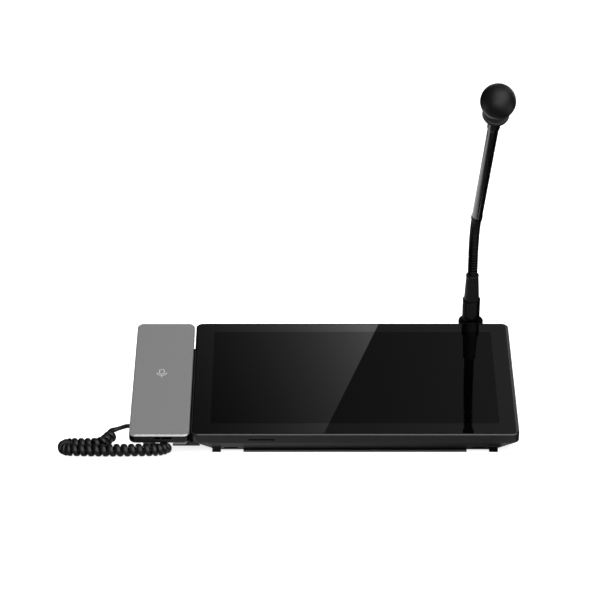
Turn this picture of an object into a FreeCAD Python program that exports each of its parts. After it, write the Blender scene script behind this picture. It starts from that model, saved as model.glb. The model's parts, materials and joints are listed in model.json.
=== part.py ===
import FreeCAD, Part
import math
import os

# Paging microphone station. Millimetres, +Z up, +X to the user's right, +Y away from the user.
# The origin is on the desk, in the middle of the stand's pad.
# The screen unit, the cradle and the microphone are drawn in the unit's own frame:
# x across, y back along the glass from its front edge, z out of the glass. place() stands them up.

V = FreeCAD.Vector

# Stance
TILT = 18.0
GLASS_FRONT_Z = 19.6
STAND_FRONT_Y = 7.6
STAND_DEPTH = 132.8
STAND_GAP = 5.0
STAND_SHEET = 1.0
STAND_PAD = 0.5
STAND_BEND = 3.0
FLANGE_LENGTH = 78.0
ORIGIN_Y = STAND_FRONT_Y + STAND_DEPTH / 2

# Clearances
SLIP = 0.1
RUNNING = 0.3

# How far a cutting block runs past the face it cuts, and a boss sinks into its floor
PAST = 1.0
SUNK = 0.5

# The straight side left between two round ends that almost meet
THIN = 0.02

# How closely a coordinate has to match when an edge is picked
TINY = 1e-4

# Screen unit: the panel's size, and the borders round it that make the unit's
UNIT_FRONT = -1.4
UNIT_CORNER = 6.4
RIM = 0.9
RIM_BEVEL = 0.8
GLASS_THICK = 1.1
TAPE = 0.2
TAPE_EDGE = 1.0
PANEL_WIDE = 262.0
PANEL_DEEP = 150.4
PANEL_THICK = 3.2
BORDER_SIDE = 14.25
BORDER_FRONT = 13.8
BORDER_BACK = 11.5
WEB = 1.2
FRAME_DEPTH = 9.3
FRAME_WALL = 3.0
GROOVE_Z = 1.7
GROOVE_HIGH = 0.4
GROOVE_DEEP = 0.4

# Rear housing
FLOOR_Z = -20.2
TAPER_SIDE = 17.25
TAPER_FRONT = 5.4
TAPER_BACK = 6.3
HOUSING_WALL = 2.0
SOUND_SLOT_INSET = 18.05
SOUND_SLOT_WIDE = 12.5
SOUND_SLOT_HIGH = 2.0

# Fascia window and light sensor
WINDOW_INSET = 62.7
WINDOW_WIDE = 23.5
WINDOW_HIGH = 1.8
WINDOW_Z = -5.8
WINDOW_DEEP = 1.0
SENSOR_X = -23.5
SENSOR_FROM_BACK = 5.5
SENSOR_DIAMETER = 2.0
SENSOR_DEEP = 1.0

# Screws
SCREW_DIAMETER = 3.0
SCREW_HEAD = 5.5
SCREW_HEAD_HIGH = 1.8
PILLAR_DIAMETER = 8.0
BOSS_HIGH = 3.0
BOSS_HOLE = 2.0
SCREW_REACH = 1.5
HOUSING_SCREW_INSET = 12.0
HOUSING_SCREW_ROW = 16.0
STAND_SCREW_CLEAR = 4.0
STAND_SCREW_APART = 45.0
STAND_SCREW_INSET = 16.0
ACCESS_HOLE = 7.5

# Inside the unit
SPREADER_WIDE = 200.0
SPREADER_FRONT = 45.0
SPREADER_BACK = 128.0
SPREADER_THICK = 0.8
BOARD_WIDE = 150.0
BOARD_FRONT = 58.0
BOARD_BACK = 140.0
BOARD_THICK = 1.6
BOARD_TOP = -11.0
BOARD_INSET = 5.0
BOARD_PARTS = 4
BOARD_PART = 10.0
BOARD_PART_HIGH = 2.0
BOARD_PART_INSET = 18.0
CHIP = 22.0
SPEAKER_INSET = 46.0
SPEAKER_WIDE = 46.0
SPEAKER_DEEP = 20.0
SPEAKER_HIGH = 5.5
SPEAKER_FRONT = 14.0
SPEAKER_RIM = 3.0
SPEAKER_CONE_HIGH = 1.0
SPEAKER_CORNER = 2.0

# Network socket
JACK_INSET = 15.0
JACK_WIDE = 16.0
JACK_HIGH = 10.8
JACK_CAVITY_WIDE = 11.8
JACK_CAVITY_HIGH = 6.8
JACK_CAVITY_DEEP = 13.5
JACK_FLOOR = 0.8
JACK_NOTCH_WIDE = 6.2
JACK_NOTCH_HIGH = 1.2
JACK_MARGIN = 0.6
JACK_WINDOW_DEEP = 12.0

# Feet
FOOT_INSET = 5.2
FOOT_WIDE = 7.6
FOOT_FRONT = 0.9
FOOT_LONG = 16.0
FOOT_TOP = -14.3
FOOT_BEVEL = 0.7
FOOT_REACH = 8.0

# Microphone socket
MIC_INSET = 34.05
BOSS_DIAMETER = 21.0
LEDGE_RADIUS = 13.2
LEDGE_HIGH = 4.0
LEDGE_ROOT = 8.0
RING_DIAMETER = 23.1
RING_TOP = -4.3
RING_HIGH = 2.5
RING_BEVEL = 0.6
BARREL_DIAMETER = 17.4
NOSE_DIAMETER = 14.0
NOSE_LONG = 10.5
CONTACT_CIRCLE = 7.0
CONTACT_DIAMETER = 1.6
CONTACT_LONG = 6.5
CONTACT_COUNT = 3
CONTACT_DISC = 2.0

# Microphone plug, latch and sleeve
PLUG_DIAMETER = 16.4
PLUG_TOP = 20.0
PLUG_BEVEL = 0.7
CONTACT_PLAY = 0.5
LATCH_WIDE = 9.3
LATCH_BOTTOM = 1.8
LATCH_TOP = 18.8
LATCH_THICK = 2.0
LATCH_PROUD = 0.25
LATCH_TRAVEL = 1.0
SLEEVE_BOTTOM = 14.2
SLEEVE_TOP = 11.7
SLEEVE_LIP = 12.1
SLEEVE_END = 46.5
SLEEVE_SOCKET = 3.0
SLEEVE_LIP_LONG = 1.6
SLEEVE_LIP_SLOPE = 0.8
SLEEVE_LIP_BEVEL = 0.5

# Flexible neck
NECK_DIAMETER = 9.3
NECK_CORE = 7.2
NECK_BALL = 5.2
NECK_LONG = 75.3
SEGMENTS = 9
RIBS_PER_SEGMENT = 3
RIB_SHARE = 0.61
RIB_EASE = 0.6
SEGMENT_GAP = 0.8
NECK_STRAIGHT_JOINTS = 2
NECK_BEND = 33.69
NECK_TURNED = 2.0

# Tube and head
COLLAR_DIAMETER = 10.4
COLLAR_LONG = 7.0
COLLAR_BEVEL = 0.5
TUBE_DIAMETER = 8.7
TUBE_LONG = 206.3
TUBE_WALL = 1.0
CONE_DIAMETER = 14.0
CONE_LONG = 5.5
HEAD_PLATE = 1.8
LIGHT_RING_DIAMETER = 23.1
LIGHT_RING_HIGH = 1.6
HEAD_BEVEL = 0.5
HOLDER_DIAMETER = 12.0
HOLDER_LONG = 20.0
CAPSULE_DIAMETER = 10.0
CAPSULE_LONG = 7.0
CAPSULE_SEAT = 3.0
BALL_DIAMETER = 30.2
BALL_CENTRE = 22.9
BALL_NECK_DIAMETER = 20.0

# Hand microphone
HAND_WIDE = 53.3
HAND_GAP = 1.45
HAND_LEAD = 1.1
HAND_CORNER = 5.5
COVER_THICK = 1.4
COVER_BEVEL = 1.2
HAND_DEPTH = 9.7
HAND_ROUND = 3.2
HAND_WALL = 1.6
HAND_SIDE = 2.9
SLOT_SHIFT = 3.55
SLOT_WIDE = 14.4
SLOT_HIGH = 1.8
SLOT_Z = -3.2
SLOT_RIB_SHIFT = 2.0
SLOT_RIB = 1.2
ICON_SHIFT = 1.15
ICON_Y = 93.3
ICON_DEEP = 0.5
ICON_LINE = 1.1
ICON_CAPSULE_WIDE = 5.4
ICON_CAPSULE_LONG = 8.6
ICON_HOLDER_RADIUS = 4.9
ICON_STEM = 2.4
ICON_LIFT = 2.0
HAND_BOARD_WIDE = 30.0
HAND_BOARD_FRONT = 40.0
HAND_BOARD_THICK = 1.2
HAND_BOARD_TOP = -4.0
HAND_RAIL = 1.5
HAND_CHIP = 12.0
HAND_CHIP_HIGH = 1.2
EARPIECE_DIAMETER = 20.0
EARPIECE_HIGH = 4.2
EARPIECE_STEP = 1.0
EARPIECE_INSET = 22.3
CAPSULE_BODY_DIAMETER = 9.0
CAPSULE_BODY_HIGH = 4.0
CAPSULE_BODY_INSET = 11.1
CAPSULE_BODY_Y = 12.0
MAGNET_DIAMETER = 10.0
MAGNET_HIGH = 2.0
MAGNET_FRONT_Y = 34.0
MAGNET_FROM_EARPIECE = 20.0
MAGNET_SHIFT = 0.35
HAND_SCREW_X = 19.0
HAND_SCREW_FRONT = 22.0
HAND_SCREW_INSET = 8.3
HAND_SCREW_DIAMETER = 2.0
HAND_SCREW_HEAD = 3.8
HAND_SCREW_HEAD_HIGH = 1.2
HAND_PILLAR = 5.0
HAND_SCREW_SHORT = 0.3

# Cradle
CRADLE_INSET = 12.0
CRADLE_GAP = 0.35
CRADLE_SHORT = 25.3
CRADLE_PLATE = 1.7
CRADLE_PAD = 1.9
CRADLE_CORNER = 4.0
CRADLE_RIM = 1.8
CRADLE_FILLET = 8.2
BELLY_FRONT = 18.0
BELLY_SHORT = 21.0
BELLY_WALL = 1.6
BELLY_INSET = 10.0
CRADLE_RIM_HIGH = 0.8
NOTCH_LEFT_SIDE = 4.5
NOTCH_RIGHT_SIDE = 10.6
NOTCH_DEEP = 14.0
BRACKET_THICK = 1.5
BRACKET_FRONT = 62.0
BRACKET_BACK = 112.0
BRACKET_INSET = 6.0
BRACKET_PAST_SCREW = 12.0
BRACKET_ROW = 6.0
CRADLE_BOARD_WIDE = 20.0
CRADLE_BOARD_INSET = 3.2
CRADLE_BOARD_GAP = 2.0
CRADLE_BOARD_THICK = 1.2
CRADLE_BOARD_FOOT = 6.0
CRADLE_BOARD_LIFT = 1.5
CRADLE_SENSOR = 4.0
CRADLE_MAGNET_INSET = 12.0
CRADLE_SCREW_INSET = 14.0
BRACKET_SCREW_INSET = 12.0

# Cord
CORD_DIAMETER = 3.6
CURL_RADIUS = 3.95
CURL_PITCH = 6.2
CURL_PITCH_BEND = 8.0
CURL_RADIUS_START = 3.25
CURLS_SMALL = 1.75
CURLS_GROWING = 1.5
COIL_SHIFT = 4.0
COIL_FRONT_Y = -3.7
COIL_RIGHT_BEND = 12.0
COIL_FRONT_RUN = 68.15
COIL_LEFT_BEND = 8.5
COIL_BACK_RUN = 12.15
COIL_TURN_BEND = 12.0
COIL_TURN = 75.0
COIL_END_RUN = 15.0
TURN_STEP = 0.002
MEASURE_STEP = 0.45
MEASURE_PAST = 3.2
BOOT_DIAMETER = 5.2
BOOT_LONG = 0.8
CORD_SHIFT = 1.35
CORD_START_Y = 6.8
LEAD_JACK_Y = 32.0
LEAD_JACK_WIDE = 8.0
LEAD_JACK_LONG = 11.0
LEAD_JACK_BACK = 2.0
LEAD_PLUG_WIDE = 6.6
LEAD_PLUG_HIGH = 4.2
LEAD_PLUG_OUT = 4.0
HAND_JACK_WIDE = 8.0
HAND_JACK_FRONT = 0.6
HAND_JACK_TOP = -2.6
HAND_PLUG_TOP = -3.9

# Values worked out from the ones above
UNIT_HALF = PANEL_WIDE / 2 + BORDER_SIDE
PANEL_FRONT = UNIT_FRONT + BORDER_FRONT
PANEL_BACK = PANEL_FRONT + PANEL_DEEP
UNIT_BACK = PANEL_BACK + BORDER_BACK
FLOOR_HALF = UNIT_HALF - TAPER_SIDE
FLOOR_FRONT = UNIT_FRONT + TAPER_FRONT
FLOOR_BACK = UNIT_BACK - TAPER_BACK
SOUND_SLOT_X = FLOOR_HALF - SOUND_SLOT_INSET
WINDOW_X = WINDOW_INSET - UNIT_HALF
FOOT_X = FLOOR_HALF - FOOT_INSET
SPEAKER_X = SPEAKER_INSET - FLOOR_HALF
JACK_X = JACK_INSET - BOARD_WIDE / 2
STAND_SCREW_X = -JACK_X - (JACK_WIDE + PILLAR_DIAMETER) / 2 - STAND_SCREW_CLEAR
HOUSING_SCREW_X = FLOOR_HALF - HOUSING_SCREW_INSET
HOUSING_SCREW_FRONT = FLOOR_FRONT + HOUSING_SCREW_ROW
HOUSING_SCREW_BACK = FLOOR_BACK - HOUSING_SCREW_ROW
MIC_X = UNIT_HALF - MIC_INSET
MIC_Y = UNIT_BACK + RING_DIAMETER / 2 + RUNNING
HAND_RIGHT = -UNIT_HALF - HAND_GAP
HAND_LEFT = HAND_RIGHT - HAND_WIDE
HAND_MIDDLE = (HAND_LEFT + HAND_RIGHT) / 2
HAND_FRONT = UNIT_FRONT - HAND_LEAD
HAND_BACK = UNIT_BACK
SLOT_X = HAND_MIDDLE + SLOT_SHIFT
SLOT_RIB_X = SLOT_X - SLOT_RIB_SHIFT
ICON_X = HAND_MIDDLE - ICON_SHIFT
MAGNET_X = HAND_MIDDLE + MAGNET_SHIFT
CAPSULE_BODY_X = HAND_RIGHT - CAPSULE_BODY_INSET
EARPIECE_Y = HAND_BACK - EARPIECE_INSET
MAGNET_BACK_Y = EARPIECE_Y - MAGNET_FROM_EARPIECE
HAND_SCREW_BACK = HAND_BACK - HAND_SCREW_INSET
CORD_START_X = HAND_MIDDLE + CORD_SHIFT
CRADLE_RIGHT = -UNIT_HALF - CRADLE_GAP
CRADLE_LEFT = HAND_LEFT + CRADLE_INSET
CRADLE_BACK = UNIT_BACK - CRADLE_SHORT
BELLY_RIGHT = CRADLE_RIGHT - BELLY_INSET
BELLY_BACK = CRADLE_BACK - BELLY_SHORT
NOTCH_LEFT = CORD_START_X - NOTCH_LEFT_SIDE
NOTCH_RIGHT = CORD_START_X + NOTCH_RIGHT_SIDE
CRADLE_SCREW_LEFT = CRADLE_LEFT + CRADLE_SCREW_INSET
CRADLE_SCREW_RIGHT = BRACKET_SCREW_INSET - FLOOR_HALF
CRADLE_SCREW_FRONT = BRACKET_FRONT + BRACKET_ROW
CRADLE_SCREW_BACK = BRACKET_BACK - BRACKET_ROW
BRACKET_LEFT = CRADLE_LEFT + BRACKET_INSET
BRACKET_RIGHT = CRADLE_SCREW_RIGHT + BRACKET_PAST_SCREW
STAND_WIDTH = 2 * (-BRACKET_RIGHT - STAND_GAP)
CRADLE_BOARD_RIGHT = BELLY_RIGHT - CRADLE_BOARD_INSET
COIL_RIGHT_X = CORD_START_X + COIL_SHIFT
COIL_LEFT_X = COIL_RIGHT_X - COIL_RIGHT_BEND - COIL_FRONT_RUN
COIL_TURN_X = COIL_LEFT_X + COIL_BACK_RUN
COS_TILT = math.cos(math.radians(TILT))
SIN_TILT = math.sin(math.radians(TILT))
GLASS_FRONT = V(0, -ORIGIN_Y, GLASS_FRONT_Z)
ALONG_GLASS = V(0, COS_TILT, SIN_TILT)
OUT_OF_GLASS = V(0, -SIN_TILT, COS_TILT)
PANEL_TOP = -GLASS_THICK - TAPE
WEB_TOP = PANEL_TOP - PANEL_THICK
WEB_BOTTOM = WEB_TOP - WEB
FLOOR_INSIDE = FLOOR_Z + HOUSING_WALL
BOARD_BOTTOM = BOARD_TOP - BOARD_THICK
JACK_BOTTOM = FLOOR_INSIDE
CAVITY_BOTTOM = JACK_BOTTOM + JACK_FLOOR
SENSOR_Y = UNIT_BACK - SENSOR_FROM_BACK
SCREW_SEAT = FLOOR_Z + SCREW_HEAD_HIGH + SLIP
RING_BOTTOM = RING_TOP - RING_HIGH
LEDGE_TOP = FLOOR_Z + LEDGE_HIGH
SEGMENT_LONG = NECK_LONG / SEGMENTS
RIB_PITCH = SEGMENT_LONG / RIBS_PER_SEGMENT
RIB_WIDE = RIB_PITCH * RIB_SHARE
HAND_BOTTOM = -HAND_DEPTH
HAND_FLOOR = HAND_BOTTOM + HAND_WALL
PAD_TOP = HAND_BOTTOM
PLATE_TOP = PAD_TOP - CRADLE_PAD
PLATE_BOTTOM = PLATE_TOP - CRADLE_PLATE
BRACKET_TOP = FLOOR_Z
BELLY_FLOOR = FLOOR_Z + BELLY_WALL
LEAD_HEIGHT = (BELLY_FLOOR + PLATE_BOTTOM) / 2
HAND_SCREW_SEAT = HAND_BOTTOM + HAND_SCREW_HEAD_HIGH + SLIP
CAPSULE_END = HOLDER_LONG - CAPSULE_SEAT + CAPSULE_LONG
LEAD_PLUG_BACK = CRADLE_LEFT + LEAD_JACK_LONG - LEAD_JACK_BACK
CORD_RADIUS = CORD_DIAMETER / 2
UPRIGHT_Y = (STAND_DEPTH + STAND_FRONT_Y + FLOOR_Z * SIN_TILT) / COS_TILT
STAND_SCREW_BACK = UPRIGHT_Y - STAND_SCREW_INSET
STAND_SCREW_FRONT = STAND_SCREW_BACK - STAND_SCREW_APART


def place(shape):
    """Tilts a shape from the unit's own frame and sets it on its stand."""
    out = shape.copy()
    out.rotate(V(0, 0, 0), V(1, 0, 0), TILT)
    out.translate(GLASS_FRONT)
    return out


def placed_point(point):
    """A point of the unit's own frame, in the part's frame."""
    return GLASS_FRONT + V(point.x, 0, 0) + ALONG_GLASS * point.y + OUT_OF_GLASS * point.z


def placed_way(way):
    """A direction of the unit's own frame, in the part's frame."""
    return V(way.x, 0, 0) + ALONG_GLASS * way.y + OUT_OF_GLASS * way.z


def box(x0, x1, y0, y1, z0, z1):
    return Part.makeBox(x1 - x0, y1 - y0, z1 - z0, V(x0, y0, z0))


def cylinder(diameter, x, y, z0, z1):
    return Part.makeCylinder(diameter / 2, z1 - z0, V(x, y, z0))


def outline(x0, x1, y0, y1, corner, z):
    """A rounded rectangle as a wire."""
    r = corner
    k = r * (1 - math.sqrt(0.5))
    edges = [
        Part.LineSegment(V(x0 + r, y0, z), V(x1 - r, y0, z)),
        Part.Arc(V(x1 - r, y0, z), V(x1 - k, y0 + k, z), V(x1, y0 + r, z)),
        Part.LineSegment(V(x1, y0 + r, z), V(x1, y1 - r, z)),
        Part.Arc(V(x1, y1 - r, z), V(x1 - k, y1 - k, z), V(x1 - r, y1, z)),
        Part.LineSegment(V(x1 - r, y1, z), V(x0 + r, y1, z)),
        Part.Arc(V(x0 + r, y1, z), V(x0 + k, y1 - k, z), V(x0, y1 - r, z)),
        Part.LineSegment(V(x0, y1 - r, z), V(x0, y0 + r, z)),
        Part.Arc(V(x0, y0 + r, z), V(x0 + k, y0 + k, z), V(x0 + r, y0, z)),
    ]
    return Part.Wire([edge.toShape() for edge in edges])


def edges_at_top(shape, top):
    """The edges that lie wholly in a shape's top plane."""
    return [edge for edge in shape.Edges if edge.BoundBox.ZMin > top - TINY]


def rounded(x0, x1, y0, y1, z0, z1, corner):
    """A block with rounded upright edges."""
    return Part.Face(outline(x0, x1, y0, y1, corner, z0)).extrude(V(0, 0, z1 - z0))


def revolved(points, x=0.0, y=0.0):
    """A solid turned about an upright axis from (radius, height) points."""
    corners = [V(x + r, y, z) for r, z in points]
    face = Part.Face(Part.makePolygon(corners + [corners[0]]))
    return face.revolve(V(x, y, 0), V(0, 0, 1), 360)


def disc(diameter, z0, z1, bevel):
    """A disc on the upright axis with both rims bevelled."""
    r = diameter / 2
    points = [(0, z0), (r - bevel, z0), (r, z0 + bevel), (r, z1 - bevel), (r - bevel, z1), (0, z1)]
    return revolved(points)


def screw(x, y, seat, top, diameter, head, head_high):
    """A screw whose head hangs below its seat and whose shank points up."""
    body = cylinder(diameter, x, y, seat, top)
    return body.fuse(cylinder(head, x, y, seat - head_high, seat)).removeSplitter()


def screw_hole(x, y, z0, z1):
    return cylinder(SCREW_DIAMETER + 2 * SLIP, x, y, z0, z1)


def compound(shapes):
    return Part.makeCompound(shapes)


# Screen unit


def touch_glass():
    edge = RIM + SLIP
    body = rounded(
        -UNIT_HALF + edge, UNIT_HALF - edge, UNIT_FRONT + edge, UNIT_BACK - edge,
        -GLASS_THICK, 0, UNIT_CORNER - RIM,
    )
    return body


def display_panel():
    return box(-PANEL_WIDE / 2, PANEL_WIDE / 2, PANEL_FRONT, PANEL_BACK, WEB_TOP, PANEL_TOP)


def display_gasket():
    """The tape frame between the glass and the mid frame, open over the panel and the sensor."""
    edge = RIM + TAPE_EDGE
    outer = rounded(
        -UNIT_HALF + edge, UNIT_HALF - edge, UNIT_FRONT + edge, UNIT_BACK - edge,
        PANEL_TOP, -GLASS_THICK, UNIT_CORNER - RIM,
    )
    half = PANEL_WIDE / 2 + TAPE_EDGE
    hole = box(-half, half, PANEL_FRONT - TAPE_EDGE, PANEL_BACK + TAPE_EDGE, PANEL_TOP - PAST, 0)
    return outer.cut(hole).cut(sensor_block(SLIP, 0))


def pillar_places():
    return [
        (x, y)
        for x in (-HOUSING_SCREW_X, HOUSING_SCREW_X)
        for y in (HOUSING_SCREW_FRONT, HOUSING_SCREW_BACK)
    ]


def board_pillar_places():
    return [
        (x, y)
        for x in (-BOARD_WIDE / 2 + BOARD_INSET, BOARD_WIDE / 2 - BOARD_INSET)
        for y in (BOARD_FRONT + BOARD_INSET, BOARD_BACK - BOARD_INSET)
    ]


def front_frame():
    """The mid frame: a bevelled rim round the glass, a web behind the panel and four pillars."""
    body = rounded(
        -UNIT_HALF, UNIT_HALF, UNIT_FRONT, UNIT_BACK, -FRAME_DEPTH, 0, UNIT_CORNER,
    )
    body = body.makeChamfer(RIM_BEVEL, edges_at_top(body, 0))
    glass_seat = rounded(
        -UNIT_HALF + RIM, UNIT_HALF - RIM, UNIT_FRONT + RIM, UNIT_BACK - RIM,
        PANEL_TOP, PAST, UNIT_CORNER - RIM,
    )
    body = body.cut(glass_seat)
    body = body.cut(
        box(
            -PANEL_WIDE / 2 - SLIP, PANEL_WIDE / 2 + SLIP, PANEL_FRONT - SLIP,
            PANEL_BACK + SLIP, WEB_TOP, PAST,
        )
    )
    inside = rounded(
        -UNIT_HALF + FRAME_WALL, UNIT_HALF - FRAME_WALL, UNIT_FRONT + FRAME_WALL,
        UNIT_BACK - FRAME_WALL, -FRAME_DEPTH - PAST, WEB_BOTTOM, UNIT_CORNER - FRAME_WALL,
    )
    body = body.cut(inside)
    groove_outer = rounded(
        -UNIT_HALF - PAST, UNIT_HALF + PAST, UNIT_FRONT - PAST, UNIT_BACK + PAST,
        -GROOVE_Z - GROOVE_HIGH, -GROOVE_Z, UNIT_CORNER + PAST,
    )
    groove_inner = rounded(
        -UNIT_HALF + GROOVE_DEEP, UNIT_HALF - GROOVE_DEEP, UNIT_FRONT + GROOVE_DEEP,
        UNIT_BACK - GROOVE_DEEP, -GROOVE_Z - GROOVE_HIGH - PAST, -GROOVE_Z + PAST,
        UNIT_CORNER - GROOVE_DEEP,
    )
    body = body.cut(groove_outer.cut(groove_inner))
    body = body.cut(fascia_window())
    body = body.cut(sensor_block(SLIP, 0))
    for x, y in pillar_places():
        pillar = cylinder(PILLAR_DIAMETER, x, y, -FRAME_DEPTH, WEB_BOTTOM + WEB / 2)
        hole = cylinder(SCREW_DIAMETER + 2 * SLIP, x, y, -FRAME_DEPTH - PAST, WEB_BOTTOM)
        body = body.fuse(pillar).cut(hole)
    for x, y in board_pillar_places():
        body = body.fuse(cylinder(PILLAR_DIAMETER, x, y, BOARD_TOP, WEB_BOTTOM + WEB / 2))
    return body.removeSplitter()


def fascia_window():
    """The long window in the fascia, drawn flat and turned to face forwards."""
    half = WINDOW_WIDE / 2
    high = WINDOW_HIGH / 2
    block = rounded(
        WINDOW_X - half, WINDOW_X + half, WINDOW_Z - high, WINDOW_Z + high,
        -WINDOW_DEEP, 0, high - THIN,
    )
    block.rotate(V(0, 0, 0), V(1, 0, 0), 90)
    block.translate(V(0, UNIT_FRONT, 0))
    return block


def sensor_block(grow, top):
    return cylinder(SENSOR_DIAMETER + 2 * grow, SENSOR_X, SENSOR_Y, PANEL_TOP - SENSOR_DEEP, top)


def light_sensor():
    return sensor_block(0, -GLASS_THICK)


# Rear housing


def taper_share(z):
    return (-FRAME_DEPTH - z) / (-FRAME_DEPTH - FLOOR_Z)


def housing_back(z):
    """Where the shell's outer back face lies at a depth."""
    return UNIT_BACK - TAPER_BACK * taper_share(z)


def housing_form(inset, top, bottom):
    """The tapered shell's form, smaller by an inset all round, between two depths."""

    def at(z):
        half = UNIT_HALF - TAPER_SIDE * taper_share(z) - inset
        front = UNIT_FRONT + TAPER_FRONT * taper_share(z) + inset
        back = housing_back(z) - inset
        return outline(-half, half, front, back, UNIT_CORNER - inset, z)

    return Part.makeLoft([at(top), at(bottom)], True, True)


def mic_ledge():
    """The ledge behind the unit that carries the microphone's socket."""
    arm = box(
        MIC_X - LEDGE_RADIUS, MIC_X + LEDGE_RADIUS, FLOOR_BACK - LEDGE_ROOT, MIC_Y, FLOOR_Z, LEDGE_TOP,
    )
    end = cylinder(2 * LEDGE_RADIUS, MIC_X, MIC_Y, FLOOR_Z, LEDGE_TOP)
    boss = cylinder(BOSS_DIAMETER, MIC_X, MIC_Y, FLOOR_Z, RING_BOTTOM)
    return arm.fuse([end, boss])


def rear_housing():
    body = housing_form(0, -FRAME_DEPTH, FLOOR_Z)
    body = body.cut(housing_form(HOUSING_WALL, -FRAME_DEPTH + PAST, FLOOR_INSIDE))
    body = body.fuse(mic_ledge())
    body = body.cut(
        cylinder(BARREL_DIAMETER + 2 * SLIP, MIC_X, MIC_Y, FLOOR_INSIDE, RING_BOTTOM + PAST)
    )
    for x in (-SOUND_SLOT_X, SOUND_SLOT_X):
        slot = box(
            x - SOUND_SLOT_WIDE / 2, x + SOUND_SLOT_WIDE / 2, UNIT_FRONT, FLOOR_FRONT + HOUSING_WALL + PAST,
            FLOOR_INSIDE, FLOOR_INSIDE + SOUND_SLOT_HIGH,
        )
        body = body.cut(slot)
    half = JACK_CAVITY_WIDE / 2 + JACK_MARGIN
    window = box(
        JACK_X - half, JACK_X + half, UNIT_BACK - JACK_WINDOW_DEEP, UNIT_BACK + PAST,
        CAVITY_BOTTOM - JACK_MARGIN, -FRAME_DEPTH + PAST,
    )
    body = body.cut(window)
    for x, y in pillar_places():
        body = body.fuse(cylinder(PILLAR_DIAMETER, x, y, FLOOR_INSIDE, -FRAME_DEPTH))
        body = body.cut(screw_hole(x, y, FLOOR_Z - PAST, -FRAME_DEPTH + PAST))
        body = body.cut(cylinder(SCREW_HEAD + 2 * SLIP, x, y, FLOOR_Z - PAST, SCREW_SEAT))
    for x, y in stand_screw_places() + bracket_screw_places():
        body = body.fuse(cylinder(PILLAR_DIAMETER, x, y, FLOOR_INSIDE, FLOOR_INSIDE + BOSS_HIGH))
        body = body.cut(screw_hole(x, y, FLOOR_Z - PAST, FLOOR_INSIDE + BOSS_HOLE))
    return body.removeSplitter()


def housing_screws():
    top = WEB_BOTTOM - SLIP
    return compound(
        [
            screw(x, y, SCREW_SEAT, top, SCREW_DIAMETER, SCREW_HEAD, SCREW_HEAD_HIGH)
            for x, y in pillar_places()
        ]
    )


def stand_screw_places():
    return [
        (x, y)
        for x in (-STAND_SCREW_X, STAND_SCREW_X)
        for y in (STAND_SCREW_FRONT, STAND_SCREW_BACK)
    ]


def bracket_screw_places():
    return [(CRADLE_SCREW_RIGHT, y) for y in (CRADLE_SCREW_FRONT, CRADLE_SCREW_BACK)]


def heat_spreader():
    """A sheet under the web, with holes where the board's pillars pass."""
    half = SPREADER_WIDE / 2
    low = WEB_BOTTOM - SPREADER_THICK
    sheet = box(-half, half, SPREADER_FRONT, SPREADER_BACK, low, WEB_BOTTOM)
    for x, y in board_pillar_places():
        sheet = sheet.cut(cylinder(PILLAR_DIAMETER + 2 * RUNNING, x, y, low - PAST, WEB_BOTTOM + PAST))
    return sheet


def main_board():
    """The board, with a chip block against the spreader and low parts beside it."""
    half = BOARD_WIDE / 2
    board = box(-half, half, BOARD_FRONT, BOARD_BACK, BOARD_BOTTOM, BOARD_TOP)
    middle = (SPREADER_FRONT + SPREADER_BACK) / 2
    chip = box(
        -CHIP / 2, CHIP / 2, middle - CHIP / 2, middle + CHIP / 2,
        BOARD_TOP, WEB_BOTTOM - SPREADER_THICK,
    )
    parts = [chip]
    step = (BOARD_WIDE - 2 * BOARD_PART_INSET - BOARD_PART) / (BOARD_PARTS - 1)
    front = BOARD_FRONT + BOARD_PART
    for i in range(BOARD_PARTS):
        x = -half + BOARD_PART_INSET + i * step
        parts.append(
            box(
                x, x + BOARD_PART, front, front + BOARD_PART, BOARD_BOTTOM - BOARD_PART_HIGH,
                BOARD_BOTTOM,
            )
        )
    return board.fuse(parts).removeSplitter()


def loudspeaker():
    half = SPEAKER_WIDE / 2
    top = FLOOR_INSIDE + SPEAKER_HIGH
    body = rounded(
        SPEAKER_X - half, SPEAKER_X + half, SPEAKER_FRONT, SPEAKER_FRONT + SPEAKER_DEEP,
        FLOOR_INSIDE, top, SPEAKER_CORNER,
    )
    cone = rounded(
        SPEAKER_X - half + SPEAKER_RIM, SPEAKER_X + half - SPEAKER_RIM, SPEAKER_FRONT + SPEAKER_RIM,
        SPEAKER_FRONT + SPEAKER_DEEP - SPEAKER_RIM, top, top + SPEAKER_CONE_HIGH, SPEAKER_CORNER,
    )
    return body.fuse(cone).removeSplitter()


def network_jack():
    """The socket between the board and the back wall, with a notch for the plug's latch."""
    half = JACK_WIDE / 2
    mouth = housing_back(JACK_BOTTOM) - HOUSING_WALL - SLIP
    body = box(
        JACK_X - half, JACK_X + half, BOARD_BACK, mouth, JACK_BOTTOM, JACK_BOTTOM + JACK_HIGH,
    )
    wide = JACK_CAVITY_WIDE / 2
    deep = mouth - JACK_CAVITY_DEEP
    cavity_top = CAVITY_BOTTOM + JACK_CAVITY_HIGH
    cavity = box(JACK_X - wide, JACK_X + wide, deep, mouth + PAST, CAVITY_BOTTOM, cavity_top)
    notch = box(
        JACK_X - JACK_NOTCH_WIDE / 2, JACK_X + JACK_NOTCH_WIDE / 2, deep, mouth + PAST,
        CAVITY_BOTTOM, cavity_top + JACK_NOTCH_HIGH,
    )
    return body.cut(cavity).cut(notch)


# Feet and stand


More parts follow.
